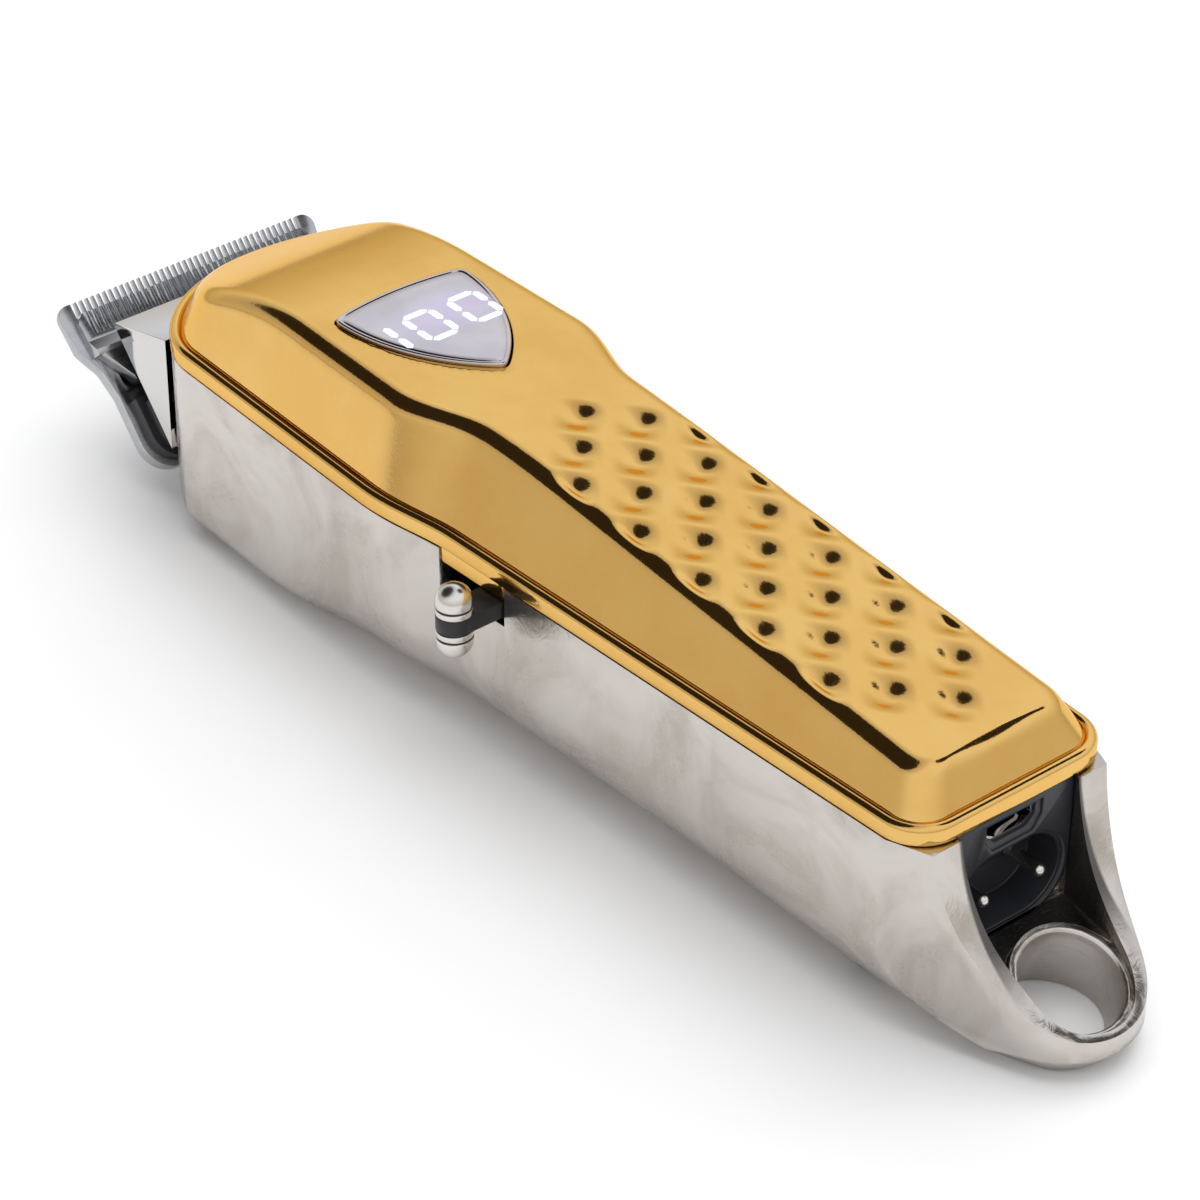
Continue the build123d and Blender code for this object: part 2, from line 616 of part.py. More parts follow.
def make_tension_spring():
    """Leaf spring: a foot on the carrier and two arms that press the cutter down."""
    top = CARRIER_H - 0.35
    foot = blade_box((CARRIER_S + 0.4, 22.2), (-11.8, 11.8), (top - 0.5, top))
    for side in (-1, 1):
        foot -= blade_rod(20.8, side * 9.0, -1, 9, 2.4)
        foot -= blade_rod(19.2, side * 5.0, -1, 9, 0.95)
    low = CUTTER_FIT + 2.7 + 0.12
    path = Plane.XZ * make_face(Polyline(
        (CARRIER_S + 0.9, top - 0.5), (CARRIER_S + 0.9, top), (12.2, low + 0.5), (9.6, low + 0.5),
        (9.0, low + 0.9), (8.7, low + 0.6), (9.4, low), (12.2, low), close=True))
    arm = BLADE_PLANE.location * extrude(path, 1.3, both=True)
    return one(foot + Pos(0, 10.3, 0) * arm + Pos(0, -10.3, 0) * arm)


def make_spring_screws():
    screws = []
    for side in (-1, 1):
        shank = blade_rod(19.2, side * 5.0, 3.1, CARRIER_H - 0.35, 0.8)
        head = blade_rod(19.2, side * 5.0, CARRIER_H - 0.35, CARRIER_H + 0.2, 1.5)
        screws.append(shank + head)
    return Compound(screws)


def make_blade_screws():
    """Pan-head screws through the blade plate, with crossed slots."""
    screws = []
    for side in (-1, 1):
        y = side * 9.0
        screw = blade_rod(20.8, y, -BLADE_THICK, 3.2, 1.2)
        screw += blade_rod(20.8, y, -BLADE_THICK - 1.3, -BLADE_THICK, 3.0)
        screw -= blade_box((20.8 - 1.8, 20.8 + 1.8), (y - 0.3, y + 0.3), (-5, -BLADE_THICK - 0.6))
        screw -= blade_box((20.8 - 0.3, 20.8 + 0.3), (y - 1.8, y + 1.8), (-5, -BLADE_THICK - 0.6))
        screws.append(screw)
    return Compound(screws)


# ---- taper lever and its link ----
def make_taper_lever():
    z0 = LEVER_Z - ARM_THICK / 2
    hub = rod_z(0, PIVOT_Y, z0, z0 + ARM_THICK, 5.9)
    arm = box((-KNOB_R + 0.15, KNOB_R - 0.15), (KNOB_Y, PIVOT_Y - 2), (z0, z0 + ARM_THICK))
    end = rod_z(0, KNOB_Y, z0, z0 + ARM_THICK, KNOB_R - 0.05)
    crank = rod_z(0, PIVOT_Y + CRANK_R, LINK_Z - LINK_THICK / 2 - 0.4, z0, 1.2)
    lever = hub + arm + end + crank
    return one(lever - rod_z(0, PIVOT_Y, 10, 40, 1.55) - rod_z(0, KNOB_Y, 10, 40, 0.9))


def make_knob(side):
    """Half of the knob: ring, groove and dome, above (1) or below (-1) the arm."""
    face = LEVER_Z + side * ARM_THICK / 2
    start = min(face, face + side * 0.8)
    ring = rod_z(0, KNOB_Y, start, start + 0.8, KNOB_R)
    groove_start = min(face + side * 0.8, face + side * 1.1)
    neck = rod_z(0, KNOB_Y, groove_start, groove_start + 0.3, KNOB_R - 0.35)
    barrel_start = min(face + side * 1.1, face + side * 1.6)
    barrel = rod_z(0, KNOB_Y, barrel_start, barrel_start + 0.5, KNOB_R)
    dome = Pos(0, KNOB_Y, face + side * 1.6) * Sphere(KNOB_R)
    half_space = box((-5, 5), (KNOB_Y - 5, KNOB_Y + 5), tuple(sorted((face + side * 1.6, face + side * 8))))
    knob = ring + neck + barrel + (dome & half_space)
    if side > 0:
        return knob + rod_z(0, KNOB_Y, face - ARM_THICK - 0.9, face, 0.8)
    return knob - rod_z(0, KNOB_Y, face - 1.2, face + 0.1, 0.85)


def make_knob_rings():
    """Two black rings in the knob's grooves."""
    rings = []
    for side in (-1, 1):
        z = LEVER_Z + side * (ARM_THICK / 2 + 0.95)
        ring = rod_z(0, KNOB_Y, z - 0.13, z + 0.13, KNOB_R - 0.1)
        rings.append(ring - rod_z(0, KNOB_Y, z - 1, z + 1, KNOB_R - 0.34))
    return Compound(rings)


def make_pivot_screw():
    z1 = LEVER_Z + ARM_THICK / 2
    screw = rod_z(0, PIVOT_Y, 22.35, z1 + 0.1, 1.5) + rod_z(0, PIVOT_Y, 14, 22.35, 0.95)
    screw += rod_z(0, PIVOT_Y, z1 + 0.1, z1 + 1.5, 2.9)
    return screw - box((-3, 3), (PIVOT_Y - 0.4, PIVOT_Y + 0.4), (z1 + 0.9, z1 + 3))


def make_adjuster_link():
    """Flat bar from the lever's crank to the blade carrier, past the motor."""
    z0 = LINK_Z - LINK_THICK / 2
    y_bar = -14.3
    near = y_bar - 0.7
    far = y_bar + 0.5
    fork = make_face(Polyline(
        (-3.4, -7.6), (-3.4, -3.4), (3.4, -3.4), (3.4, -7.6),
        (1.35, -7.6), (1.35, -4.2), (-1.35, -4.2), (-1.35, -7.6), close=True))
    bar = make_face(Polyline(
        (-2.6, -4.0), (-3.0, -7.5), (-20.0, near), (-74.6, near),
        (-74.6, far), (-24.0, far), (-6.0, -4.0), close=True))
    link = extrude(Pos(0, 0, z0) * (fork + bar), LINK_THICK)
    link += box((-74.6, -71.8), (near, far), (LINK_Z - 1.6, LINK_Z + 1.6))
    link += rod_y(-73.2, y_bar, -11.2, LINK_Z, 1.0)
    return one(link)


def make_lever_detent():
    """Spring strip with a bump that holds the lever where it is set."""
    z0 = LEVER_Z - ARM_THICK / 2
    strip = box((3.6, 10.6), (-12.7, -11.3), (z0 - 2.4, z0 - 1.9))
    post = rod_z(9.6, -12.0, 5.8, z0 - 1.9, 1.3)
    bump = Pos(4.4, -12.0, z0 - 1.3) * Sphere(0.9)
    return strip + post + bump


# ---- button and display ----
def make_display_button():
    top = CREST_Z + BUTTON_PROUD
    cap = extrude(Pos(0, 0, CREST_Z - 2.6) * shield(0), top - CREST_Z + 2.6)
    cap = fillet(cap.faces().sort_by(Axis.Z)[-1].edges(), 0.35)
    flange = extrude(Pos(0, 0, CREST_Z - 2.9) * shield(1.3), 0.9)
    cap += flange
    cap -= extrude(Pos(0, 0, CREST_Z - 3.2) * shield(-1.4), 1.8)
    stem = rod_z(-24.0, 0, 37.0, CREST_Z - 1.2, 1.2)
    return one(cap + stem)


def make_led_digits():
    """Lit bars of the charge display: 1, 0 and 0."""
    z = CREST_Z - 3.6
    bars = []
    shapes = {"1": "bc", "0": "abcdef"}
    for place, figure in enumerate("100"):
        y = (place - 1) * 5.4
        for bar in shapes[figure]:
            bars.append(segment(bar, -34.5, y, z))
    return Compound(bars)


def segment(name, x, y, z):
    """One bar of a seven-bar figure whose top points to the blade."""
    half_h = 3.4
    half_w = 1.7
    thick = 0.45
    places = {
        "a": (-2 * half_h, 0, False), "d": (0.0, 0, False), "g": (-half_h, 0, False),
        "b": (-1.5 * half_h, half_w, True), "c": (-0.5 * half_h, half_w, True),
        "e": (-0.5 * half_h, -half_w, True), "f": (-1.5 * half_h, -half_w, True),
    }
    dx, dy, along = places[name]
    length = (half_h if along else 2 * half_w) / 2 - 0.45
    spread = (length, thick) if along else (thick, length)
    cx = x + half_h + dx
    return box((cx - spread[0], cx + spread[0]), (y + dy - spread[1], y + dy + spread[1]), (z, z + 0.2))


def make_led_module():
    return box((-40.2, -28.6), (-8.4, 8.4), (34.2, CREST_Z - 3.6))


def make_display_board():
    return extrude(Pos(0, 0, 33.0) * shield(-0.6), 1.2)


def make_tact_switch():
    body = box((-26.4, -21.6), (-2.4, 2.4), (34.2, 35.6))
    return body + rod_z(-24.0, 0, 35.6, 36.4, 1.0)


# ---- drive ----
def make_motor_can():
    can = rod_x(MOTOR_FRONT, MOTOR_REAR, 0, MOTOR_Z, MOTOR_R)
    can = fillet(can.edges().sort_by(Axis.X)[0], 1.0)
    can += rod_x(MOTOR_FRONT - 1.6, MOTOR_FRONT + 1, 0, MOTOR_Z, 3.6)
    can -= rod_x(MOTOR_FRONT - 3, MOTOR_REAR + 1, 0, MOTOR_Z, 1.25)
    for side in (-1, 1):
        can -= rod_x(MOTOR_FRONT - 1, MOTOR_FRONT + 3, side * 7.0, MOTOR_Z, 1.0)
    return one(can)


def make_motor_end_cap():
    cap = rod_x(MOTOR_REAR, MOTOR_REAR + 2.4, 0, MOTOR_Z, MOTOR_R - 1.2)
    cap += rod_x(MOTOR_REAR + 2.4, MOTOR_REAR + 4.0, 0, MOTOR_Z, 3.2)
    cap -= rod_x(MOTOR_REAR - 1, MOTOR_REAR + 2.6, 0, MOTOR_Z, 1.25)
    for side in (-1, 1):
        tag = box((MOTOR_REAR + 2.4, MOTOR_REAR + 5.4), (-0.2, 0.2), (MOTOR_Z - 1.2, MOTOR_Z + 1.2))
        cap += Pos(0, side * 6, 0) * tag
    return cap


def make_motor_shaft():
    return rod_x(-73.0, MOTOR_REAR + 2.4, 0, MOTOR_Z, 1.18)


def make_drive_cam():
    """Cam on the motor shaft: hub, balance weight and an eccentric pin at the top."""
    hub = rod_x(-73.4, -67.4, 0, MOTOR_Z, 2.9) - rod_x(-73.0, -60, 0, MOTOR_Z, 1.18)
    weight = rod_x(-70.6, -67.4, 0, MOTOR_Z, 5.0) & box((-75, -60), (-6, 6), (MOTOR_Z - 6, MOTOR_Z - 0.2))
    pin = rod_x(-79.2, -73.2, 0, MOTOR_Z + ECCENTRICITY, CAM_PIN_R)
    return hub + (weight - rod_x(-80, -60, 0, MOTOR_Z, 1.18)) + pin


def make_motor_mount():
    """Plastic bracket: a plate in front of the motor and a cradle under it."""
    x0 = MOTOR_FRONT - 2.0
    plate = box((x0, MOTOR_FRONT), (-11.6, 14.0), (8.2, 26.6))
    plate -= rod_x(-80, -50, 0, MOTOR_Z, 3.75)
    for side in (-1, 1):
        plate -= rod_x(-80, -50, side * 7.0, MOTOR_Z, 1.15)
    cradle = box((MOTOR_FRONT, -36), (-7, 7), (8.2, 13)) + box((-58, -36), (-6, 6), (3.65, 8.2))
    cradle += box((-45.8, -36), (-6, 6), (2.05, 3.65))
    return one(plate + (cradle - rod_x(-80, -20, 0, MOTOR_Z, MOTOR_R + 0.05)))


def make_motor_screws():
    screws = []
    for side in (-1, 1):
        y = side * 7.0
        shank = rod_x(MOTOR_FRONT - 2.0, MOTOR_FRONT + 2.5, y, MOTOR_Z, 0.95)
        screws.append(shank + rod_x(MOTOR_FRONT - 3.2, MOTOR_FRONT - 2.0, y, MOTOR_Z, 1.8))
    return Compound(screws)


# ---- power and electronics ----
def make_battery():
    cell = rod_x(*BATTERY_X, 0, BATTERY_Z, BATTERY_R)
    cell = fillet(cell.edges(), 0.8)
    return cell + rod_x(BATTERY_X[0] - 0.9, BATTERY_X[0], 0, BATTERY_Z, 2.8)


def make_battery_tray():
    x0, x1 = BATTERY_X
    tray = box((x0 - 1.0, x1 + 0.5), (-4.6, 4.6), (2.05, 7.0))
    return one(tray - rod_x(x0 - 5, x1 + 5, 0, BATTERY_Z, BATTERY_R + 0.05))


def make_main_board():
    return box((8.0, 56.0), (-10.5, 10.5), (25.4, 27.0))


def make_board_parts():
    """Chips, connector and capacitors on the main board."""
    parts = [box((14, 20), (-3, 3), (27.0, 28.3)), box((26, 30), (2, 7), (27.0, 28.0)),
             box((34, 42), (-8, -3), (27.0, 29.6)), box((46, 51), (-4, 4), (27.0, 29.0))]
    parts += [rod_z(24, y, 27.0, 30.2, 1.9) for y in (-7, -2.6)]
    return Compound(parts)


def make_charging_board():
    board = box((58.0, 64.9), (-5.4, 5.4), (USB_Z - 3.2, USB_Z - 2.0))
    return board + box((63.4, 64.9), (-5.4, 5.4), (11.0, USB_Z - 3.2))


def make_housing_screws():
    screws = []
    for x, y in (MID_SCREW, REAR_SCREW, (REAR_SCREW[0], -REAR_SCREW[1])):
        screw = rod_z(x, y, 2.6, 32.0, 1.05) + rod_z(x, y, 1.3, 2.6, 2.3)
        screws.append(screw - box((x - 1.4, x + 1.4), (y - 0.3, y + 0.3), (0, 1.9)))
    return Compound(screws)


PARTS = {
    "top_cover": make_top_cover,
    "cover_gasket": make_gasket,
    "lower_housing": make_lower_housing,
    "nose_cap": make_nose_cap,
    "rear_panel": make_rear_panel,
    "charging_pins": make_charging_pins,
    "usb_socket": make_usb_socket,
    "housing_screws": make_housing_screws,
    "fixed_blade": make_fixed_blade,
    "blade_carrier": make_blade_carrier,
    "blade_screws": make_blade_screws,
    "tension_spring": make_tension_spring,
    "spring_screws": make_spring_screws,
    "moving_cutter": make_moving_cutter,
    "cutter_follower": make_cutter_follower,
    "taper_lever": make_taper_lever,
    "knob_upper": lambda: make_knob(1),
    "knob_lower": lambda: make_knob(-1),
    "knob_rings": make_knob_rings,
    "lever_pivot_screw": make_pivot_screw,
    "adjuster_link": make_adjuster_link,
    "lever_detent": make_lever_detent,
    "display_button": make_display_button,
    "led_digits": make_led_digits,
    "led_module": make_led_module,
    "display_board": make_display_board,
    "tact_switch": make_tact_switch,
    "motor_can": make_motor_can,
    "motor_end_cap": make_motor_end_cap,
    "motor_shaft": make_motor_shaft,
    "drive_cam": make_drive_cam,
    "motor_mount": make_motor_mount,
    "motor_screws": make_motor_screws,
    "battery_cell": make_battery,
    "battery_tray": make_battery_tray,
    "main_board": make_main_board,
    "board_parts": make_board_parts,
    "charging_board": make_charging_board,
}

if __name__ == "__main__":
    os.makedirs("parts", exist_ok=True)
    for node, make in PARTS.items():
        export_step(make(), f"parts/{node}.step")
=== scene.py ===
# %% [markdown]
# # A cordless hair clipper, dressed on its CAD frame
# The CAD model gives every piece its place and size. This lesson adds what the eye judges: a mirror-gold cover
# with soft dimples, a cast and polished shell, ground steel blades and a lit display.
# Everything is in metres inside Blender; the helpers below work in millimetres, as a drawing would.

# %% Load the frame
import bpy
import bmesh
import math
import numpy as np
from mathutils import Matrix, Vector


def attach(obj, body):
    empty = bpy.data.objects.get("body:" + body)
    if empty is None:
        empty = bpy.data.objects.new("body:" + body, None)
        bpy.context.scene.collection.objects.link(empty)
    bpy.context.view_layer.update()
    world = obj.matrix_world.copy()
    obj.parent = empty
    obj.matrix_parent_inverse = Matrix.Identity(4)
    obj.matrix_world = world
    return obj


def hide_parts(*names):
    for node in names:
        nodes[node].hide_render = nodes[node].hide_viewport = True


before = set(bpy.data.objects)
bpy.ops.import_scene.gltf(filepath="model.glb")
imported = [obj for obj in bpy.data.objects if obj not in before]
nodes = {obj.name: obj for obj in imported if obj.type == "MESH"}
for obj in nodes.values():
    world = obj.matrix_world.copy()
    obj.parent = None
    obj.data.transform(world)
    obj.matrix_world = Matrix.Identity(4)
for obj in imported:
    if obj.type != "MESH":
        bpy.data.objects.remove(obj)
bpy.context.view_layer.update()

# %% [markdown]
# The camera looks down on the clipper from its lever side, over the tail. A long lens keeps the body's lines
# nearly parallel. The floor is plain and pale.

# %% Camera and floor
def point_at(thing, place, target):
    thing.location = place
    thing.rotation_euler = (Vector(target) - Vector(place)).to_track_quat("-Z", "Y").to_euler()


camera_data = bpy.data.cameras.new("camera")
camera_data.lens = 130.5
camera_data.sensor_width = 36
camera = bpy.data.objects.new("camera", camera_data)
bpy.context.scene.collection.objects.link(camera)
point_at(camera, (0.3472, -0.2856, 0.3291), (0.0444, -0.0374, 0.0565))
bpy.context.scene.camera = camera

floor_mesh = bpy.data.meshes.new("floor")
floor_mesh.from_pydata([(-2, -2, 0), (2, -2, 0), (2, 2, 0), (-2, 2, 0)], [], [(0, 1, 2, 3)])
floor = bpy.data.objects.new("floor", floor_mesh)
floor.location.z = -0.0002
bpy.context.scene.collection.objects.link(floor)
print("camera at", [round(v, 3) for v in camera.location])

# %% [markdown]
# Polished metal shows the room, not itself, so the room matters as much as the metal. The walls are a soft pale
# tent, warmer near the floor, with a round dark opening up on one side and a small one over the tail: the
# ridges and the walls of the dimples mirror them, which draws their deep lines. A wide lamp overhead gives the
# soft floor shadow; it is hidden from mirrors, so it leaves no square highlight.

# %% Shader helpers
class Wire:
    """A shader value that can be added, multiplied and compared like a number."""

    def __init__(self, paint, socket):
        self.paint = paint
        self.socket = socket

    def _math(self, operation, a, b=None):
        values = {0: a} if b is None else {0: a, 1: b}
        return self.paint.node("ShaderNodeMath", {"operation": operation}, values)

    def __add__(self, other):
        return self._math("ADD", self, other)

    def __radd__(self, other):
        return self._math("ADD", other, self)

    def __sub__(self, other):
        return self._math("SUBTRACT", self, other)

    def __rsub__(self, other):
        return self._math("SUBTRACT", other, self)

    def __mul__(self, other):
        return self._math("MULTIPLY", self, other)

    def __rmul__(self, other):
        return self._math("MULTIPLY", other, self)

    def __truediv__(self, other):
        return self._math("DIVIDE", self, other)

    def apply(self, operation, other=None):
        return self._math(operation, self, other)

    def ramp(self, low, high):
        """0 below low, 1 above high, smooth between."""
        return self.paint.node("ShaderNodeMapRange", {"interpolation_type": "SMOOTHSTEP"},
                               {"Value": self, "From Min": low, "From Max": high})


class Paint:
    """A node tree and the one method that adds any node to it."""

    def __init__(self, tree):
        self.tree = tree

    def node(self, kind, settings=None, values=None, output=0):
        made = self.tree.nodes.new(kind)
        for name, value in (settings or {}).items():
            if name == "stops":
                for i, (place, colour) in enumerate(value):
                    stop = made.color_ramp.elements[i] if i < 2 else made.color_ramp.elements.new(place)
                    stop.position = place
                    stop.color = colour
            else:
                setattr(made, name, value)
        for name, value in (values or {}).items():
            if isinstance(value, Wire):
                self.tree.links.new(value.socket, made.inputs[name])
            else:
                made.inputs[name].default_value = value
        return Wire(self, made.outputs[output])

    def place(self):
        """Object coordinates."""
        return self.node("ShaderNodeTexCoord", output=3)

    def noise(self, scale, detail=3.0, rough=0.5, stretch=None, distortion=0.0):
        where = self.place()
        if stretch:
            where = self.node("ShaderNodeMapping", None, {"Vector": where, "Scale": stretch})
        return self.node("ShaderNodeTexNoise", None, {
            "Vector": where, "Scale": scale, "Detail": detail, "Roughness": rough, "Distortion": distortion})

    def colours(self, mask, low, high):
        """Mix of two colours by a mask."""
        return self.node("ShaderNodeMix", {"data_type": "RGBA"}, {0: mask, 6: (*low, 1), 7: (*high, 1)}, output=2)

    def bump(self, height, strength, distance, normal=None):
        values = {"Height": height, "Strength": strength, "Distance": distance}
        if normal:
            values["Normal"] = normal
        return self.node("ShaderNodeBump", None, values)


def srgb(code):
    """Linear colour of a paint chart's hex code."""
    parts = [int(code[i:i + 2], 16) / 255 for i in (1, 3, 5)]
    return tuple(c / 12.92 if c <= 0.04045 else ((c + 0.055) / 1.055) ** 2.4 for c in parts)


def surface(name, shades, constants=None):
    """A material: shades(paint) returns the varying sockets, constants are set on the shader itself."""
    material = bpy.data.materials.new(name)
    material.use_nodes = True
    shader = material.node_tree.nodes["Principled BSDF"]
    for socket, value in (constants or {}).items():
        shader.inputs[socket].default_value = value
    for socket, wire in shades(Paint(material.node_tree)).items():
        material.node_tree.links.new(wire.socket, shader.inputs[socket])
    return material


# %% Room and lamp
DARK_DOOR = (-0.45, -0.35, 0.82)
DARK_SLOT = (0.18, 0.52, 0.835)

world = bpy.data.worlds.new("room")
bpy.context.scene.world = world
world.use_nodes = True
room = Paint(world.node_tree)
way = room.node("ShaderNodeTexCoord", output=0)
height = room.node("ShaderNodeSeparateXYZ", None, {"Vector": way}, output=2)
walls = room.node("ShaderNodeValToRGB", {"stops": [
    (0.0, (0.80, 0.79, 0.78, 1)), (1.0, (1.0, 1.0, 1.0, 1)), (0.50, (0.60, 0.57, 0.54, 1)),
    (0.56, (0.72, 0.69, 0.63, 1)), (0.78, (0.97, 1.0, 1.06, 1))]}, {"Fac": height * 0.5 + 0.5}, output=0)


def opening(direction, start, full):
    """How far a direction of the room points into a round opening."""
    facing = room.node("ShaderNodeVectorMath", {"operation": "DOT_PRODUCT"}, {0: way, 1: direction}, output=1)
    return facing.ramp(start, full)


halo = opening(DARK_DOOR, 0.60, 0.88) * 0.45
shaded = room.node("ShaderNodeMix", {"data_type": "RGBA"}, {0: halo, 6: walls, 7: (0.10, 0.07, 0.05, 1)}, output=2)
doors = opening(DARK_DOOR, 0.835, 0.855).apply("MAXIMUM", opening(DARK_SLOT, 0.962, 0.972))
shown_room = room.node("ShaderNodeMix", {"data_type": "RGBA"},
                       {0: doors, 6: shaded, 7: (0.03, 0.025, 0.02, 1)}, output=2)
background = world.node_tree.nodes["Background"]
world.node_tree.links.new(shown_room.socket, background.inputs["Color"])
background.inputs["Strength"].default_value = 1.0

lamp_data = bpy.data.lights.new("overhead_lamp", "AREA")
lamp_data.size = 1.2
lamp_data.energy = 9.5
lamp = bpy.data.objects.new("overhead_lamp", lamp_data)
bpy.context.scene.collection.objects.link(lamp)
point_at(lamp, (-0.1, 0.15, 1.0), (0, 0, 0))
lamp.visible_glossy = False
bpy.context.scene.view_settings.view_transform = "Standard"


def floor_shades(p):
    grain = p.noise(40, 2)
    return {"Base Color": p.colours(grain, (0.86, 0.86, 0.86), (0.88, 0.88, 0.88))}


floor_mesh.materials.append(surface("pale_floor", floor_shades, {"Roughness": 0.9}))

# %% [markdown]
# ## The cover's rules
# The cover is a thin zinc shell. Its plan is a wide head, a waist and a tapering handle; its sides lean in; its
# top is flat over the head and falls towards the tail. Those rules are short formulas, so the mesh is made from
# them: every ring of points follows the same outline, which gives clean quads and reflections without facets.

# %% Plan and height of the cover
def smooth(t):
    t = np.clip(t, 0.0, 1.0)
    return t * t * (3 - 2 * t)


def half_width(x):
    head = 20.7 + 0.027 * (x + 24.5)
    handle = 18.05 - 0.0385 * (x - 13.2)
    return head + (handle - head) * smooth((x + 24) / 16)


def lean(x):
    return 5.8 + 3.2 * smooth((x + 24) / 14)


RIM_Z = 27.4
CREST_Z = 41.1
FALL = -0.081
RIDGE_RADIUS = 2.8


def curve(knots, first_slope, last_slope):
    """A smooth curve z(x) through the knots, with set slopes at both ends."""
    xs, zs = (np.array(v, float) for v in zip(*knots))
    n = len(xs)
    gaps = np.diff(xs)
    rises = np.diff(zs) / gaps
    system = np.zeros((n, n))
    right = np.zeros(n)
    system[0, 0] = system[-1, -1] = 1
    right[0], right[-1] = first_slope, last_slope
    for i in range(1, n - 1):
        system[i, i - 1:i + 2] = gaps[i], 2 * (gaps[i - 1] + gaps[i]), gaps[i - 1]
        right[i] = 3 * (gaps[i] * rises[i - 1] + gaps[i - 1] * rises[i])
    slopes = np.linalg.solve(system, right)

    def at(x):
        i = np.clip(np.searchsorted(xs, x) - 1, 0, n - 2)
        t = (x - xs[i]) / gaps[i]
        return ((1 + 2 * t) * (1 - t) ** 2 * zs[i] + t * t * (3 - 2 * t) * zs[i + 1]
                + gaps[i] * (t * (1 - t) ** 2 * slopes[i] - t * t * (1 - t) * slopes[i + 1]))

    return at


dome = curve([(-81, 29.6), (-72, 34.0), (-62, 38.2), (-46, CREST_Z)], 0.62, 0.0)
bend = curve([(-16, CREST_Z), (4, CREST_Z + FALL * 10)], 0.0, FALL)


def crown(x):
    """Height of the cover's top surface."""
    x = np.asarray(x, float)
    z = np.where(x < -46, dome(np.clip(x, -81, -46)), CREST_Z)
    z = np.where(x > -16, bend(np.clip(x, -16, 4)), z)
    return np.where(x > 4, CREST_Z + FALL * (x + 6), z)


def outline(side, x_front, front_r, corner_r, x_tail, tail_r):
    """Half the plan outline, from the middle of the front to the middle of the tail, as rows of x and y."""
    corner_y = side(-63.0) - corner_r
    reach = front_r - corner_r
    front_c = x_front + front_r
    corner_x = front_c - math.sqrt(reach ** 2 - corner_y ** 2)
    turn = math.atan2(corner_y, front_c - corner_x)
    bow = np.linspace(0, turn, 15)[:-1]
    points = [np.stack([front_c - front_r * np.cos(bow), front_r * np.sin(bow)], 1)]
    arc = np.linspace(turn, math.pi / 2, 15)[:-1]
    points.append(np.stack([corner_x - corner_r * np.cos(arc), corner_y + corner_r * np.sin(arc)], 1))
    tail_start = x_tail - tail_r
    xs = np.concatenate([np.linspace(corner_x, -54, 12)[:-1], np.arange(-54, -12, 1.0),
                         np.arange(-12, 58, 0.45), np.linspace(58, tail_start, 12)[:-1]])
    points.append(np.stack([xs, side(xs)], 1))
    tail_y = side(tail_start) - tail_r
    arc = np.linspace(math.pi / 2, 0, 11)[:-1]
    points.append(np.stack([tail_start + tail_r * np.cos(arc), tail_y + tail_r * np.sin(arc)], 1))
    ys = np.linspace(tail_y, 0, 14)
    points.append(np.stack([np.full_like(ys, x_tail), ys], 1))
    return np.concatenate(points)


def rim_line(inset):
    return outline(lambda x: half_width(x) - inset, -79.2 + inset, 21 - inset, 12 - inset, 73.9 - inset, 6 - inset)


def upper_line(inset):
    return outline(lambda x: half_width(x) - lean(x) - inset, -70.3 + inset, 16 - inset, 9 - inset,
                   65.0 - inset, 4 - inset)


print("outline points on one side:", len(rim_line(0)))

# %% [markdown]
# The dimples are pressed in a diagonal grid. A product of two cosines makes each one a soft rounded square that
# just meets its neighbours, which is what a pressing tool leaves; spheres would leave sharp rims.

# %% Dimples
ROWS = 13


def dimple(x, y):
    """Depth in mm at a place on the top face."""
    row = (x + 5.5) / 5.66
    column = y / 5.15
    a = (row + column) / 2
    b = (row - column) / 2
    near_a, near_b = np.round(a), np.round(b)
    near_row = near_a + near_b
    near_column = np.abs(near_a - near_b)
    ends = (near_row == 0) | (near_row == ROWS - 1)
    kept = (near_row >= 0) & (near_row < ROWS) & (near_column <= 2) & ~(ends & (near_column > 0))
    shape = np.cos(math.pi * (a - near_a)) ** 2 * np.cos(math.pi * (b - near_b)) ** 2
    return np.where(kept, 0.9 * shape ** 0.85, 0.0)


print("deepest dimple:", round(float(dimple(np.array(5.82), np.array(0.0))), 2), "mm")


# %% [markdown]
# Each point of the outline gets one upright section: rim bead, groove, leaning side, rounded ridge, top face.
# All sections have the same number of points, so joining neighbours gives a quad mesh. The two halves meet
# along the middle of the top, like a zip.

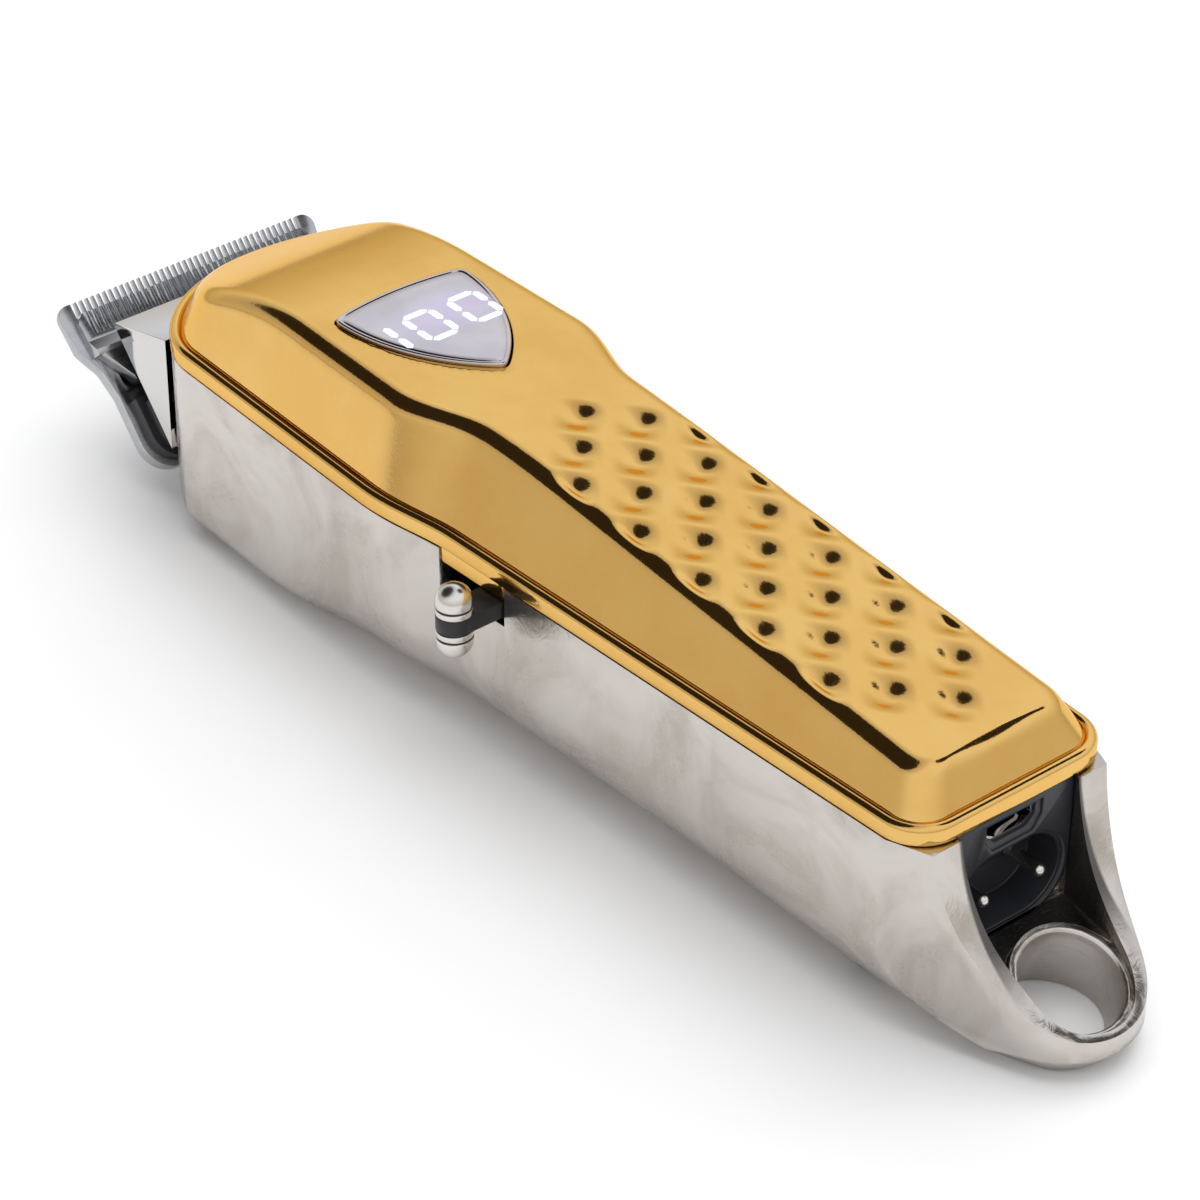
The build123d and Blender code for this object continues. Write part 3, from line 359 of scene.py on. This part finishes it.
# %% Build the cover
def cover_sections():
    foot_line = rim_line(1.5)
    head_line = upper_line(1.5)
    base = rim_line(0)
    nose_z = 24.05 + (base[:, 0] + 84.3) * 0.238 + 0.2
    low = np.where(base[:, 0] < -71.5, np.minimum(nose_z, RIM_Z - 0.04), RIM_Z - 0.04)
    rings = []

    def ring(inset, z):
        line = rim_line(inset)
        rings.append(np.column_stack([line, np.broadcast_to(z, len(line))]))

    ring(1.6, low)
    ring(0.45, low)
    ring(0.25, low + 0.1 * (RIM_Z - low))
    ring(0.2, low + 0.9 * (RIM_Z - low))
    ring(0.16, RIM_Z + 0.0)
    for inset, z in ((0.05, 27.46), (0.0, 27.6), (0.0, 28.2), (0.0, 28.9)):
        ring(inset, z)
    for angle in np.radians(np.linspace(12, 96, 8)):
        ring(0.95 - 0.95 * math.cos(angle), 29.0 + 0.95 * math.sin(angle))
    for inset, z in ((1.22, 29.84), (1.38, 29.6), (1.5, 29.42)):
        ring(inset, z)

    start = np.column_stack([foot_line, np.full(len(foot_line), 29.6)])
    end = np.column_stack([head_line, np.full(len(head_line), 46.0)])
    low_t, high_t = np.zeros(len(start)), np.ones(len(start))
    for _ in range(30):
        middle = (low_t + high_t) / 2
        place = start + (end - start) * middle[:, None]
        under = place[:, 2] < crown(place[:, 0])
        low_t = np.where(under, middle, low_t)
        high_t = np.where(under, high_t, middle)
    edge = start + (end - start) * low_t[:, None]
    up = (end - start) / np.linalg.norm(end - start, axis=1)[:, None]

    spine_x = np.clip(edge[:, 0], edge[:, 0].min() + 9.0, edge[:, 0].max() - 3.6)
    inward = np.column_stack([spine_x - edge[:, 0], -edge[:, 1]])
    inward /= np.maximum(np.linalg.norm(inward, axis=1), 1e-9)[:, None]
    slope = (crown(edge[:, 0] + 0.05) - crown(edge[:, 0] - 0.05)) / 0.1
    across = np.column_stack([inward, slope * inward[:, 0]])
    across /= np.linalg.norm(across, axis=1)[:, None]
    turn = np.arccos(np.clip((up * across).sum(1), -1, 1))
    reach = RIDGE_RADIUS * np.tan(turn / 2)
    square = across - (across * up).sum(1)[:, None] * up
    square /= np.linalg.norm(square, axis=1)[:, None]
    first = edge - up * reach[:, None]

    for t in (0.01, 0.04, 0.12, 0.25, 0.4, 0.55, 0.7, 0.82, 0.92):
        rings.append(start + (first - start) * t)
    for t in np.linspace(0, 1, 10):
        angle = (turn * t)[:, None]
        point = first + RIDGE_RADIUS * (np.sin(angle) * up + (1 - np.cos(angle)) * square)
        normal = -(np.cos(angle) * square) + np.sin(angle) * up
        depth = dimple(point[:, 0], np.abs(point[:, 1])) * smooth((t - 0.45) * 1.9)
        rings.append(point - normal * depth[:, None])
    top_edge = edge + across * reach[:, None]
    steps = 34
    for k in range(1, steps + 1):
        t = k / steps
        x = top_edge[:, 0] + (spine_x - top_edge[:, 0]) * t
        y = top_edge[:, 1] * (1 - t)
        z = crown(x) - dimple(x, y)
        settle = (top_edge[:, 2] - crown(top_edge[:, 0])) * (1 - smooth(t * 6))
        rings.append(np.column_stack([x, y, z + settle]))
    return np.array(rings)


def cover_mesh():
    rings = cover_sections()
    count, across_count = rings.shape[:2]
    mirrored = rings[:, 1:-1][:, ::-1] * (1, -1, 1)
    loop = np.concatenate([rings, mirrored], 1)
    total = loop.shape[1]
    points = loop.reshape(-1, 3) * 0.001
    index = np.arange(count * total).reshape(count, total)
    lower, upper = index[:-1], index[1:]
    quads = np.stack([lower, upper, np.roll(upper, -1, 1), np.roll(lower, -1, 1)], -1).reshape(-1, 4)
    mesh = bpy.data.meshes.new("gold_cover")
    mesh.from_pydata(points.tolist(), [], quads.tolist())
    shell = bmesh.new()
    shell.from_mesh(mesh)
    bmesh.ops.remove_doubles(shell, verts=shell.verts, dist=2e-6)
    bmesh.ops.dissolve_degenerate(shell, edges=shell.edges, dist=1e-6)
    bmesh.ops.recalc_face_normals(shell, faces=shell.faces)
    shell.to_mesh(mesh)
    shell.free()
    return mesh


def add_object(name, mesh):
    made = bpy.data.objects.new(name, mesh)
    bpy.context.scene.collection.objects.link(made)
    return made


cover_shape = cover_mesh()
print("cover faces:", len(cover_shape.polygons))

# %% [markdown]
# The button's outline is where three discs overlap: a wide one for the bowed front, and one for each curved side.
# A soft maximum of the three distances rounds its corners, and the same rule at another level gives an offset.

# %% The shield outline
def circle_through(a, b, c):
    ax, ay, bx, by, cx, cy = *a, *b, *c
    d = 2 * (ax * (by - cy) + bx * (cy - ay) + cx * (ay - by))
    sa, sb, sc = ax * ax + ay * ay, bx * bx + by * by, cx * cx + cy * cy
    x = (sa * (by - cy) + sb * (cy - ay) + sc * (ay - by)) / d
    y = (sa * (cx - bx) + sb * (ax - cx) + sc * (bx - ax)) / d
    return x, y, math.hypot(ax - x, ay - y)


BUTTON_MIDDLE = -33
FRONT_DISC = circle_through((-42.2, -10.4), (-43.4, 0), (-42.2, 10.4))
SIDE_DISC = circle_through((-42.2, 10.4), (-29.5, 7.6), (-19.7, 0))


def shield_distance(x, y):
    """How far a place lies outside the button's edge, in mm."""
    sx, sy, sr = SIDE_DISC
    parts = [np.hypot(x - FRONT_DISC[0], y - FRONT_DISC[1]) - FRONT_DISC[2],
             np.hypot(x - sx, y - sy) - sr, np.hypot(x - sx, y + sy) - sr]
    return 0.45 * np.log(sum(np.exp(np.clip(part, -30, 30) / 0.45) for part in parts))


def shield_line(grow, angles):
    """Points of the offset outline in the given directions from its middle."""
    low, high = np.zeros_like(angles), np.full_like(angles, 25.0)
    for _ in range(40):
        r = (low + high) / 2
        out = shield_distance(BUTTON_MIDDLE + r * np.cos(angles), r * np.sin(angles)) > grow
        high, low = np.where(out, r, high), np.where(out, low, r)
    return np.column_stack([BUTTON_MIDDLE + low * np.cos(angles), low * np.sin(angles)])


print("button length:", round(float(np.ptp(shield_line(0, np.array([0, math.pi]))[:, 0])), 1), "mm")

# %% Cut the opening and give the cover a wall
TOP_FACE_ABOVE = 0.038
COVER_WALL = 0.0011


def cut_opening(mesh, gap):
    shell = bmesh.new()
    shell.from_mesh(mesh)
    inside = [v for v in shell.verts if v.co.z > TOP_FACE_ABOVE
              and shield_distance(v.co.x * 1e3, v.co.y * 1e3) < gap + 0.05]
    bmesh.ops.delete(shell, geom=inside, context="VERTS")
    lip = [e for e in shell.edges if e.is_boundary and e.verts[0].co.z > TOP_FACE_ABOVE]
    for v in {v for e in lip for v in e.verts}:
        angle = np.array([math.atan2(v.co.y * 1e3, v.co.x * 1e3 - BUTTON_MIDDLE)])
        x, y = shield_line(gap, angle)[0]
        v.co.x, v.co.y = x * 1e-3, y * 1e-3
    for grow, drop in ((-0.07, 0.03), (-0.12, 0.12), (-0.12, 1.8)):
        made = bmesh.ops.extrude_edge_only(shell, edges=lip)["geom"]
        for v in [g for g in made if isinstance(g, bmesh.types.BMVert)]:
            angle = np.array([math.atan2(v.co.y * 1e3, v.co.x * 1e3 - BUTTON_MIDDLE)])
            x, y = shield_line(gap + grow, angle)[0]
            v.co = (x * 1e-3, y * 1e-3, (CREST_Z - drop) * 1e-3)
        lip = [g for g in made if isinstance(g, bmesh.types.BMEdge)]
    bmesh.ops.recalc_face_normals(shell, faces=shell.faces)
    shell.to_mesh(mesh)
    shell.free()


def smooth_faces(mesh, angle=None):
    mesh.polygons.foreach_set("use_smooth", [True] * len(mesh.polygons))
    if angle:
        mesh.set_sharp_from_angle(angle=math.radians(angle))
    mesh.update()


def settle(made):
    """Turns an object's modifiers into plain mesh."""
    bpy.context.view_layer.update()
    graph = bpy.context.evaluated_depsgraph_get()
    mesh = bpy.data.meshes.new_from_object(made.evaluated_get(graph))
    made.modifiers.clear()
    made.data = mesh
    return made


cut_opening(cover_shape, 0.35)
smooth_faces(cover_shape)
cover = add_object("gold_cover", cover_shape)
wall = cover.modifiers.new("wall", "SOLIDIFY")
wall.thickness = COVER_WALL
wall.offset = -1
settle(cover)
smooth_faces(cover.data, 50)
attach(cover, "housing")
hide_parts("top_cover")
print("cover triangles:", sum(len(p.vertices) - 2 for p in cover.data.polygons))

# %% [markdown]
# Plated gold is a mirror with a warm tint. Electroplating over a casting leaves the tint and the gloss slightly
# uneven, so a broad cloud varies both, and fine specks are a little duller than the rest.

# %% Gold
def gold_shades(p):
    cloud = p.noise(90, 4, 0.6)
    fine = p.noise(1400, 2, 0.7)
    tint = p.colours(cloud.ramp(0.3, 0.7), (0.78, 0.47, 0.14), (0.82, 0.52, 0.17))
    speck = p.noise(2600, 1, 0.5).ramp(0.60, 0.72)
    rough = 0.075 + cloud * 0.05 + speck * 0.05
    skin = p.bump(fine, 0.05, 0.0002)
    return {"Base Color": tint, "Roughness": rough, "Normal": skin}


GOLD_EDGE_TINT = (0.95, 0.78, 0.5, 1.0)
gold = surface("mirror_gold", gold_shades, {"Metallic": 1.0, "Specular Tint": GOLD_EDGE_TINT})
cover.data.materials.clear()
cover.data.materials.append(gold)

# %% Cover tab at the lever window
def strip_mesh(name, xs, z_low, z_high, inset, depth):
    """A short wall that follows the rim on the lever side."""
    points, faces = [], []
    for x in xs:
        y = -(half_width(x) - inset)
        points += [(x, y, z_low), (x, y, z_high), (x, y + depth, z_high), (x, y + depth, z_low)]
    for i in range(len(xs) - 1):
        a = 4 * i
        faces += [(a + k, a + 4 + k, a + 4 + (k + 1) % 4, a + (k + 1) % 4) for k in range(4)]
    faces += [(3, 2, 1, 0), tuple(4 * len(xs) - 4 + k for k in range(4))]
    mesh = bpy.data.meshes.new(name)
    mesh.from_pydata([tuple(v * 1e-3 for v in p) for p in points], [], faces)
    body = bmesh.new()
    body.from_mesh(mesh)
    bmesh.ops.recalc_face_normals(body, faces=body.faces)
    body.to_mesh(mesh)
    body.free()
    return mesh


def bevelled(made, width, angle=35):
    edge = made.modifiers.new("edge", "BEVEL")
    edge.width = width * 1e-3
    edge.segments = 2
    edge.limit_method = "ANGLE"
    edge.angle_limit = math.radians(angle)
    settle(made)
    smooth_faces(made.data, 40)
    return made


tab = add_object("cover_tab", strip_mesh("cover_tab", np.linspace(-9.35, 2.35, 14), 25.2, 27.5, 0.15, 1.7))
bevelled(tab, 0.25)
tab.data.materials.append(gold)
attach(tab, "housing")

# %% [markdown]
# ## Display button
# The button is a half-mirror window set in a polished frame. The charge figures shine through it, with a faint
# violet glow around them. Its face is very slightly domed, so the reflection bends at the edges.

# %% Button
def button_mesh():
    angles = np.linspace(-math.pi, math.pi, 241)[:-1]
    rings = []
    for share in (0.02, 0.2, 0.4, 0.6, 0.8, 0.9, 1.0):
        line = (shield_line(-0.75, angles) - (BUTTON_MIDDLE, 0)) * share + (BUTTON_MIDDLE, 0)
        rings.append(np.column_stack([line, np.full(len(line), 41.56 + 0.06 * (1 - share ** 2))]))
    for grow, z in ((-0.62, 41.47), (-0.5, 41.56), (-0.35, 41.62), (-0.15, 41.58), (-0.04, 41.46), (0, 41.3),
                    (0, 39.2), (-0.4, 39.0)):
        rings.append(np.column_stack([shield_line(grow, angles), np.full(len(angles), z)]))
    points = np.concatenate(rings) * 1e-3
    n = len(angles)
    faces = [tuple(range(n)), tuple(range(len(points) - 1, len(points) - 1 - n, -1))]
    for r in range(len(rings) - 1):
        faces += [(r * n + i, r * n + (i + 1) % n, (r + 1) * n + (i + 1) % n, (r + 1) * n + i) for i in range(n)]
    mesh = bpy.data.meshes.new("button_face")
    mesh.from_pydata(points.tolist(), [], faces)
    body = bmesh.new()
    body.from_mesh(mesh)
    bmesh.ops.recalc_face_normals(body, faces=body.faces)
    body.to_mesh(mesh)
    body.free()
    return mesh


def button_shades(p):
    cloud = p.noise(120, 3, 0.5)
    tint = p.colours(cloud.ramp(0.3, 0.7), srgb("#C3BDC2"), srgb("#D0CBCD"))
    place = p.node("ShaderNodeSeparateXYZ", None, {"Vector": p.place()})
    across = p.node("ShaderNodeSeparateXYZ", None, {"Vector": p.place()}, output=1)
    far_x = ((place + 0.0345) / 0.0052).apply("ABSOLUTE").apply("POWER", 2.0)
    far_y = ((across - 0.0016) / 0.0092).apply("ABSOLUTE").apply("POWER", 2.0)
    glow = 1.0 - (far_x + far_y).ramp(0.0, 1.3)
    light = p.colours(glow, (0, 0, 0), (0.07, 0.04, 0.15))
    return {"Base Color": tint, "Roughness": 0.07 + cloud * 0.05, "Emission Color": light}


button = add_object("button_window", button_mesh())
smooth_faces(button.data, 40)
button.data.materials.append(surface("half_mirror", button_shades, {"Metallic": 1.0, "Emission Strength": 1.0}))
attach(button, "button")

# %% [markdown]
# The figures are seven-bar ones. Each bar is a long hexagon, and one Geometry Nodes tree places every bar. The
# height, the width and the thickness of a figure are three values, set once.

# %% A tree that repeats a piece along points
def repeat_tree(name):
    """Geometry Nodes: copies a tool object along a line, then gives the copies one material."""
    tree = bpy.data.node_groups.new(name, "GeometryNodeTree")
    face = tree.interface
    face.new_socket("Geometry", in_out="INPUT", socket_type="NodeSocketGeometry")
    for label, kind in (("Count", "NodeSocketInt"), ("Start", "NodeSocketVector"), ("Step", "NodeSocketVector"),
                        ("Piece", "NodeSocketObject"), ("Finish", "NodeSocketMaterial")):
        face.new_socket(label, in_out="INPUT", socket_type=kind)
    face.new_socket("Geometry", in_out="OUTPUT", socket_type="NodeSocketGeometry")
    add = tree.nodes.new
    source, result = add("NodeGroupInput"), add("NodeGroupOutput")
    line = add("GeometryNodeMeshLine")
    line.mode = "OFFSET"
    piece = add("GeometryNodeObjectInfo")
    copies, real = add("GeometryNodeInstanceOnPoints"), add("GeometryNodeRealizeInstances")
    paint = add("GeometryNodeSetMaterial")
    link = tree.links.new
    link(source.outputs["Count"], line.inputs["Count"])
    link(source.outputs["Start"], line.inputs["Start Location"])
    link(source.outputs["Step"], line.inputs["Offset"])
    link(source.outputs["Piece"], piece.inputs["Object"])
    link(line.outputs["Mesh"], copies.inputs["Points"])
    link(piece.outputs["Geometry"], copies.inputs["Instance"])
    link(copies.outputs["Instances"], real.inputs["Geometry"])
    link(real.outputs["Geometry"], paint.inputs["Geometry"])
    link(source.outputs["Finish"], paint.inputs["Material"])
    link(paint.outputs["Geometry"], result.inputs["Geometry"])
    return tree


ROW = repeat_tree("row_of_pieces")


def row(name, tool, count, start, step, finish):
    """Runs the tree and returns the row as one plain mesh object; the tool object is removed."""
    made = add_object(name, bpy.data.meshes.new(name))
    maker = made.modifiers.new("row", "NODES")
    maker.node_group = ROW
    sockets = {item.name: item.identifier for item in ROW.interface.items_tree if item.in_out == "INPUT"}
    for label, value in (("Count", count), ("Start", start), ("Step", step), ("Piece", tool), ("Finish", finish)):
        maker[sockets[label]] = value
    settle(made)
    bpy.data.objects.remove(tool)
    return made


def joined(name, pieces):
    """Merges several mesh objects into the first."""
    whole = bmesh.new()
    for piece in pieces:
        whole.from_mesh(piece.data)
    mesh = bpy.data.meshes.new(name)
    whole.to_mesh(mesh)
    whole.free()
    for material in pieces[0].data.materials:
        mesh.materials.append(material)
    for piece in pieces:
        bpy.data.objects.remove(piece)
    return add_object(name, mesh)


# %% Lit figures
def light_shades(p):
    core = p.noise(900, 1)
    return {"Emission Color": p.colours(core, (0.40, 0.42, 0.95), (0.54, 0.56, 1.0)),
            "Base Color": p.colours(core, (0.45, 0.47, 0.85), (0.52, 0.55, 0.9))}


LIT = surface("lit_figures", light_shades, {"Emission Strength": 1.05, "Roughness": 0.35})
HALF_TALL, HALF_WIDE, BAR = 3.2, 2.1, 0.52
FIGURE_Z, FIGURE_THICK = 0.04155, 0.00009


def bar_tool(length, along_x):
    """A flat hexagonal bar, lying along x or y."""
    half, side = length / 2, BAR
    shape = [(-half, 0), (-half + side, -side), (half - side, -side), (half, 0), (half - side, side),
             (-half + side, side)]
    shape = shape if along_x else [(y, x) for x, y in reversed(shape)]
    body = bmesh.new()
    low = [body.verts.new((x * 1e-3, y * 1e-3, FIGURE_Z)) for x, y in shape]
    body.faces.new(low)
    made = bmesh.ops.extrude_face_region(body, geom=body.faces[:])["geom"]
    upper = [g for g in made if isinstance(g, bmesh.types.BMVert)]
    bmesh.ops.translate(body, verts=upper, vec=(0, 0, FIGURE_THICK))
    bmesh.ops.recalc_face_normals(body, faces=body.faces)
    mesh = bpy.data.meshes.new("bar")
    body.to_mesh(mesh)
    body.free()
    return add_object("bar", mesh)


def figures(text, x, y, pitch):
    bars = {"1": "bc", "0": "abcdef"}
    spots = {"a": (-1, 0, 0), "d": (1, 0, 0), "b": (-0.5, 1, 1), "c": (0.5, 1, 1),
             "e": (0.5, -1, 1), "f": (-0.5, -1, 1)}
    pieces = []
    for place, figure in enumerate(text):
        for name in bars[figure]:
            up, right, along = spots[name]
            length = (HALF_TALL if along else 2 * HALF_WIDE) - 0.3
            start = ((x + up * HALF_TALL) * 1e-3, (y + (place - 1) * pitch + right * HALF_WIDE) * 1e-3, 0)
            pieces.append(row("bar_" + name, bar_tool(length, bool(along)), 1, start, (0, 0, 0), LIT))
    return joined("display_figures", pieces)


shown = figures("100", -33.2, -1.7, 7.2)
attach(shown, "button")
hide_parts("display_button")
print("figure faces:", len(shown.data.polygons))

# %% [markdown]
# ## Shell and small parts
# The CAD triangles of a part are merged first, then flat neighbours are dissolved, its sharp edges get a small
# round, and the rest is shaded smooth. A cast or machined edge is never perfectly sharp: the thin line of light
# along it is what makes it look real.

# %% Dress a CAD part
MERGE, FLAT_ANGLE = 2e-6, 0.6


def dressed(node, body, material, edge=0.12, angle=30):
    mesh = nodes[node].data.copy()
    work = bmesh.new()
    work.from_mesh(mesh)
    bmesh.ops.remove_doubles(work, verts=work.verts, dist=MERGE)
    bmesh.ops.dissolve_limit(work, angle_limit=math.radians(FLAT_ANGLE), verts=work.verts, edges=work.edges)
    work.to_mesh(mesh)
    work.free()
    mesh.materials.clear()
    mesh.materials.append(material)
    made = add_object(node + "_finished", mesh)
    if edge:
        bevelled(made, edge, angle)
    else:
        smooth_faces(mesh, angle)
    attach(made, body)
    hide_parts(node)
    return made


# %% Metals
BORE_POINT = (0.0832, 0.0, 0.006)
BORE_AXIS = (0.43837, 0.0, 0.89879)


def cast_shades(p):
    """Polished casting, with turning marks in the ring's bore; the recess is unpolished and grainy, and its colour
    is also darkened there as painted shade.
    """
    cloud = p.noise(55, 5, 0.62, distortion=1.2)
    swirl = p.noise(260, 4, 0.6, distortion=3.5)
    grain = p.noise(2600, 2, 0.6)
    place = p.place()
    x, y, z = (p.node("ShaderNodeSeparateXYZ", None, {"Vector": place}, output=i) for i in range(3))
    off = p.node("ShaderNodeVectorMath", {"operation": "SUBTRACT"}, {0: place, 1: BORE_POINT})
    along = p.node("ShaderNodeVectorMath", {"operation": "DOT_PRODUCT"}, {0: off, 1: BORE_AXIS}, output=1)
    far = p.node("ShaderNodeVectorMath", {"operation": "LENGTH"}, {0: off}, output=1)
    from_axis = (far * far - along * along).apply("SQRT")
    bore = 1.0 - from_axis.ramp(0.00663, 0.00668)
    lip = 1.0 - from_axis.ramp(0.0076, 0.0079)
    sides = 1.0 - y.apply("ABSOLUTE").ramp(0.0093, 0.0098)
    # The recess mask makes the casting rougher and grainy there, and also darkens its colour: painted shade.
    recess = sides * x.ramp(0.0726, 0.0732) * (1.0 - x.ramp(0.079, 0.086)) * z.ramp(0.0088, 0.0092) * (1.0 - lip)
    turning = p.node("ShaderNodeTexNoise", {"noise_dimensions": "1D"}, {"W": along, "Scale": 5200.0, "Detail": 2.0})
    tint = p.colours(cloud.ramp(0.35, 0.7), srgb("#D0CAC4"), srgb("#BAB2AA"))
    # Painted shade: the recess colour is darkened towards near black.
    tint_with_painted_shade = p.node("ShaderNodeMix", {"data_type": "RGBA"}, {0: recess, 6: tint, 7: (0.14, 0.13, 0.125, 1)}, output=2)
    rough = 0.15 + cloud.ramp(0.3, 0.75) * 0.14 + swirl * 0.06 + recess * 0.2 + bore * 0.12
    broad = p.bump(swirl, 0.16, 0.0004, p.bump(cloud, 0.14, 0.0008))
    grainy = p.bump(grain * recess, 0.6, 0.0003, broad)
    skin = p.bump(turning * bore, 0.5, 0.0002, grainy)
    return {"Base Color": tint_with_painted_shade, "Roughness": rough, "Normal": skin}


def chrome_shades(p):
    cloud = p.noise(70, 3)
    return {"Base Color": p.colours(cloud, srgb("#D9D7D6"), srgb("#CFCBC8")), "Roughness": 0.06 + cloud * 0.06,
            "Normal": p.bump(p.noise(300, 2), 0.03, 0.0003)}


def ground_shades(p):
    grain = p.noise(900, 3, 0.6, stretch=(1, 0.03, 1))
    return {"Base Color": p.colours(grain, srgb("#A2A3A6"), srgb("#C6C7CA")), "Roughness": 0.16 + grain * 0.16,
            "Normal": p.bump(grain, 0.1, 0.0001)}


def black_shades(p):
    grain = p.noise(1500, 2)
    cloud = p.noise(80, 2)
    return {"Base Color": p.colours(cloud, srgb("#111113"), srgb("#1C1C20")), "Roughness": 0.38 + grain * 0.12,
            "Normal": p.bump(grain, 0.12, 0.00005)}


def panel_shades(p):
    cloud = p.noise(60, 2)
    grain = p.noise(2200, 2)
    return {"Base Color": p.colours(cloud, srgb("#232429"), srgb("#2D2E33")), "Roughness": 0.3 + cloud * 0.08,
            "Normal": p.bump(grain, 0.06, 0.00005)}


def knob_shades(p):
    cloud = p.noise(260, 3, 0.6)
    return {"Base Color": p.colours(cloud, srgb("#E4E1DC"), srgb("#D2CDC6")), "Roughness": 0.17 + cloud * 0.1}


CAST = surface("polished_casting", cast_shades, {"Metallic": 1.0})
CHROME = surface("polished_chrome", chrome_shades, {"Metallic": 1.0})
GROUND = surface("ground_steel", ground_shades, {"Metallic": 1.0})
BLACK = surface("black_satin", black_shades)
PANEL = surface("panel_plastic", panel_shades)
KNOB = surface("turned_knob", knob_shades, {"Metallic": 1.0})

# %% Shell, nose and tail
dressed("lower_housing", "housing", CAST, edge=0.25, angle=40)
dressed("nose_cap", "housing", CHROME, edge=0.25)
dressed("rear_panel", "housing", PANEL, edge=0.18)
dressed("charging_pins", "housing", KNOB, edge=0)
# The gasket's black stands in for the shadow line in the seam between the gold cover and the shell: painted shade.
dressed("cover_gasket", "housing", BLACK, edge=0)
dressed("usb_socket", "housing", CHROME, edge=0)
dressed("housing_screws", "housing", GROUND, edge=0.1)

# %% Lever and knob
dressed("taper_lever", "lever", BLACK, edge=0.2)
dressed("knob_upper", "lever", KNOB, edge=0.08)
dressed("knob_lower", "lever", KNOB, edge=0.08)
dressed("knob_rings", "lever", BLACK, edge=0)
dressed("lever_pivot_screw", "housing", GROUND, edge=0.1)

# %% Blade set
dressed("fixed_blade", "blade_set", GROUND, edge=0.06)
dressed("moving_cutter", "cutter", GROUND, edge=0.05)
dressed("blade_carrier", "blade_set", BLACK, edge=0.25)
dressed("blade_screws", "blade_set", GROUND, edge=0.12)
dressed("tension_spring", "blade_set", GROUND, edge=0.05)

# %% Inner parts
def painted(low, high, rough, scale=300, metal=0.0):
    def shades(p):
        grain = p.noise(scale, 2)
        return {"Base Color": p.colours(grain, srgb(low), srgb(high)), "Roughness": rough + grain * 0.1}
    return surface("paint_" + low.strip("#"), shades, {"Metallic": metal})


inner = {
    painted("#1B5F34", "#23743F", 0.4): ["main_board", "display_board", "charging_board"],
    painted("#19191B", "#242427", 0.45): ["board_parts", "tact_switch", "led_module"],
    painted("#34363A", "#404247", 0.5): ["motor_mount", "battery_tray", "motor_end_cap"],
    painted("#9C9EA1", "#AEB0B3", 0.3, metal=1.0): ["motor_can", "motor_shaft", "motor_screws", "spring_screws",
                                                    "adjuster_link", "lever_detent"],
    painted("#C09A40", "#CFAA52", 0.25, metal=1.0): ["drive_cam"],
    painted("#2A65A6", "#3673B4", 0.3): ["battery_cell"],
    painted("#DDDAD0", "#E8E5DC", 0.4): ["cutter_follower", "led_digits"],
}
for material, names in inner.items():
    for name in names:
        nodes[name].data.materials.clear()
        nodes[name].data.materials.append(material)
print("inner parts painted:", sum(len(v) for v in inner.values()))
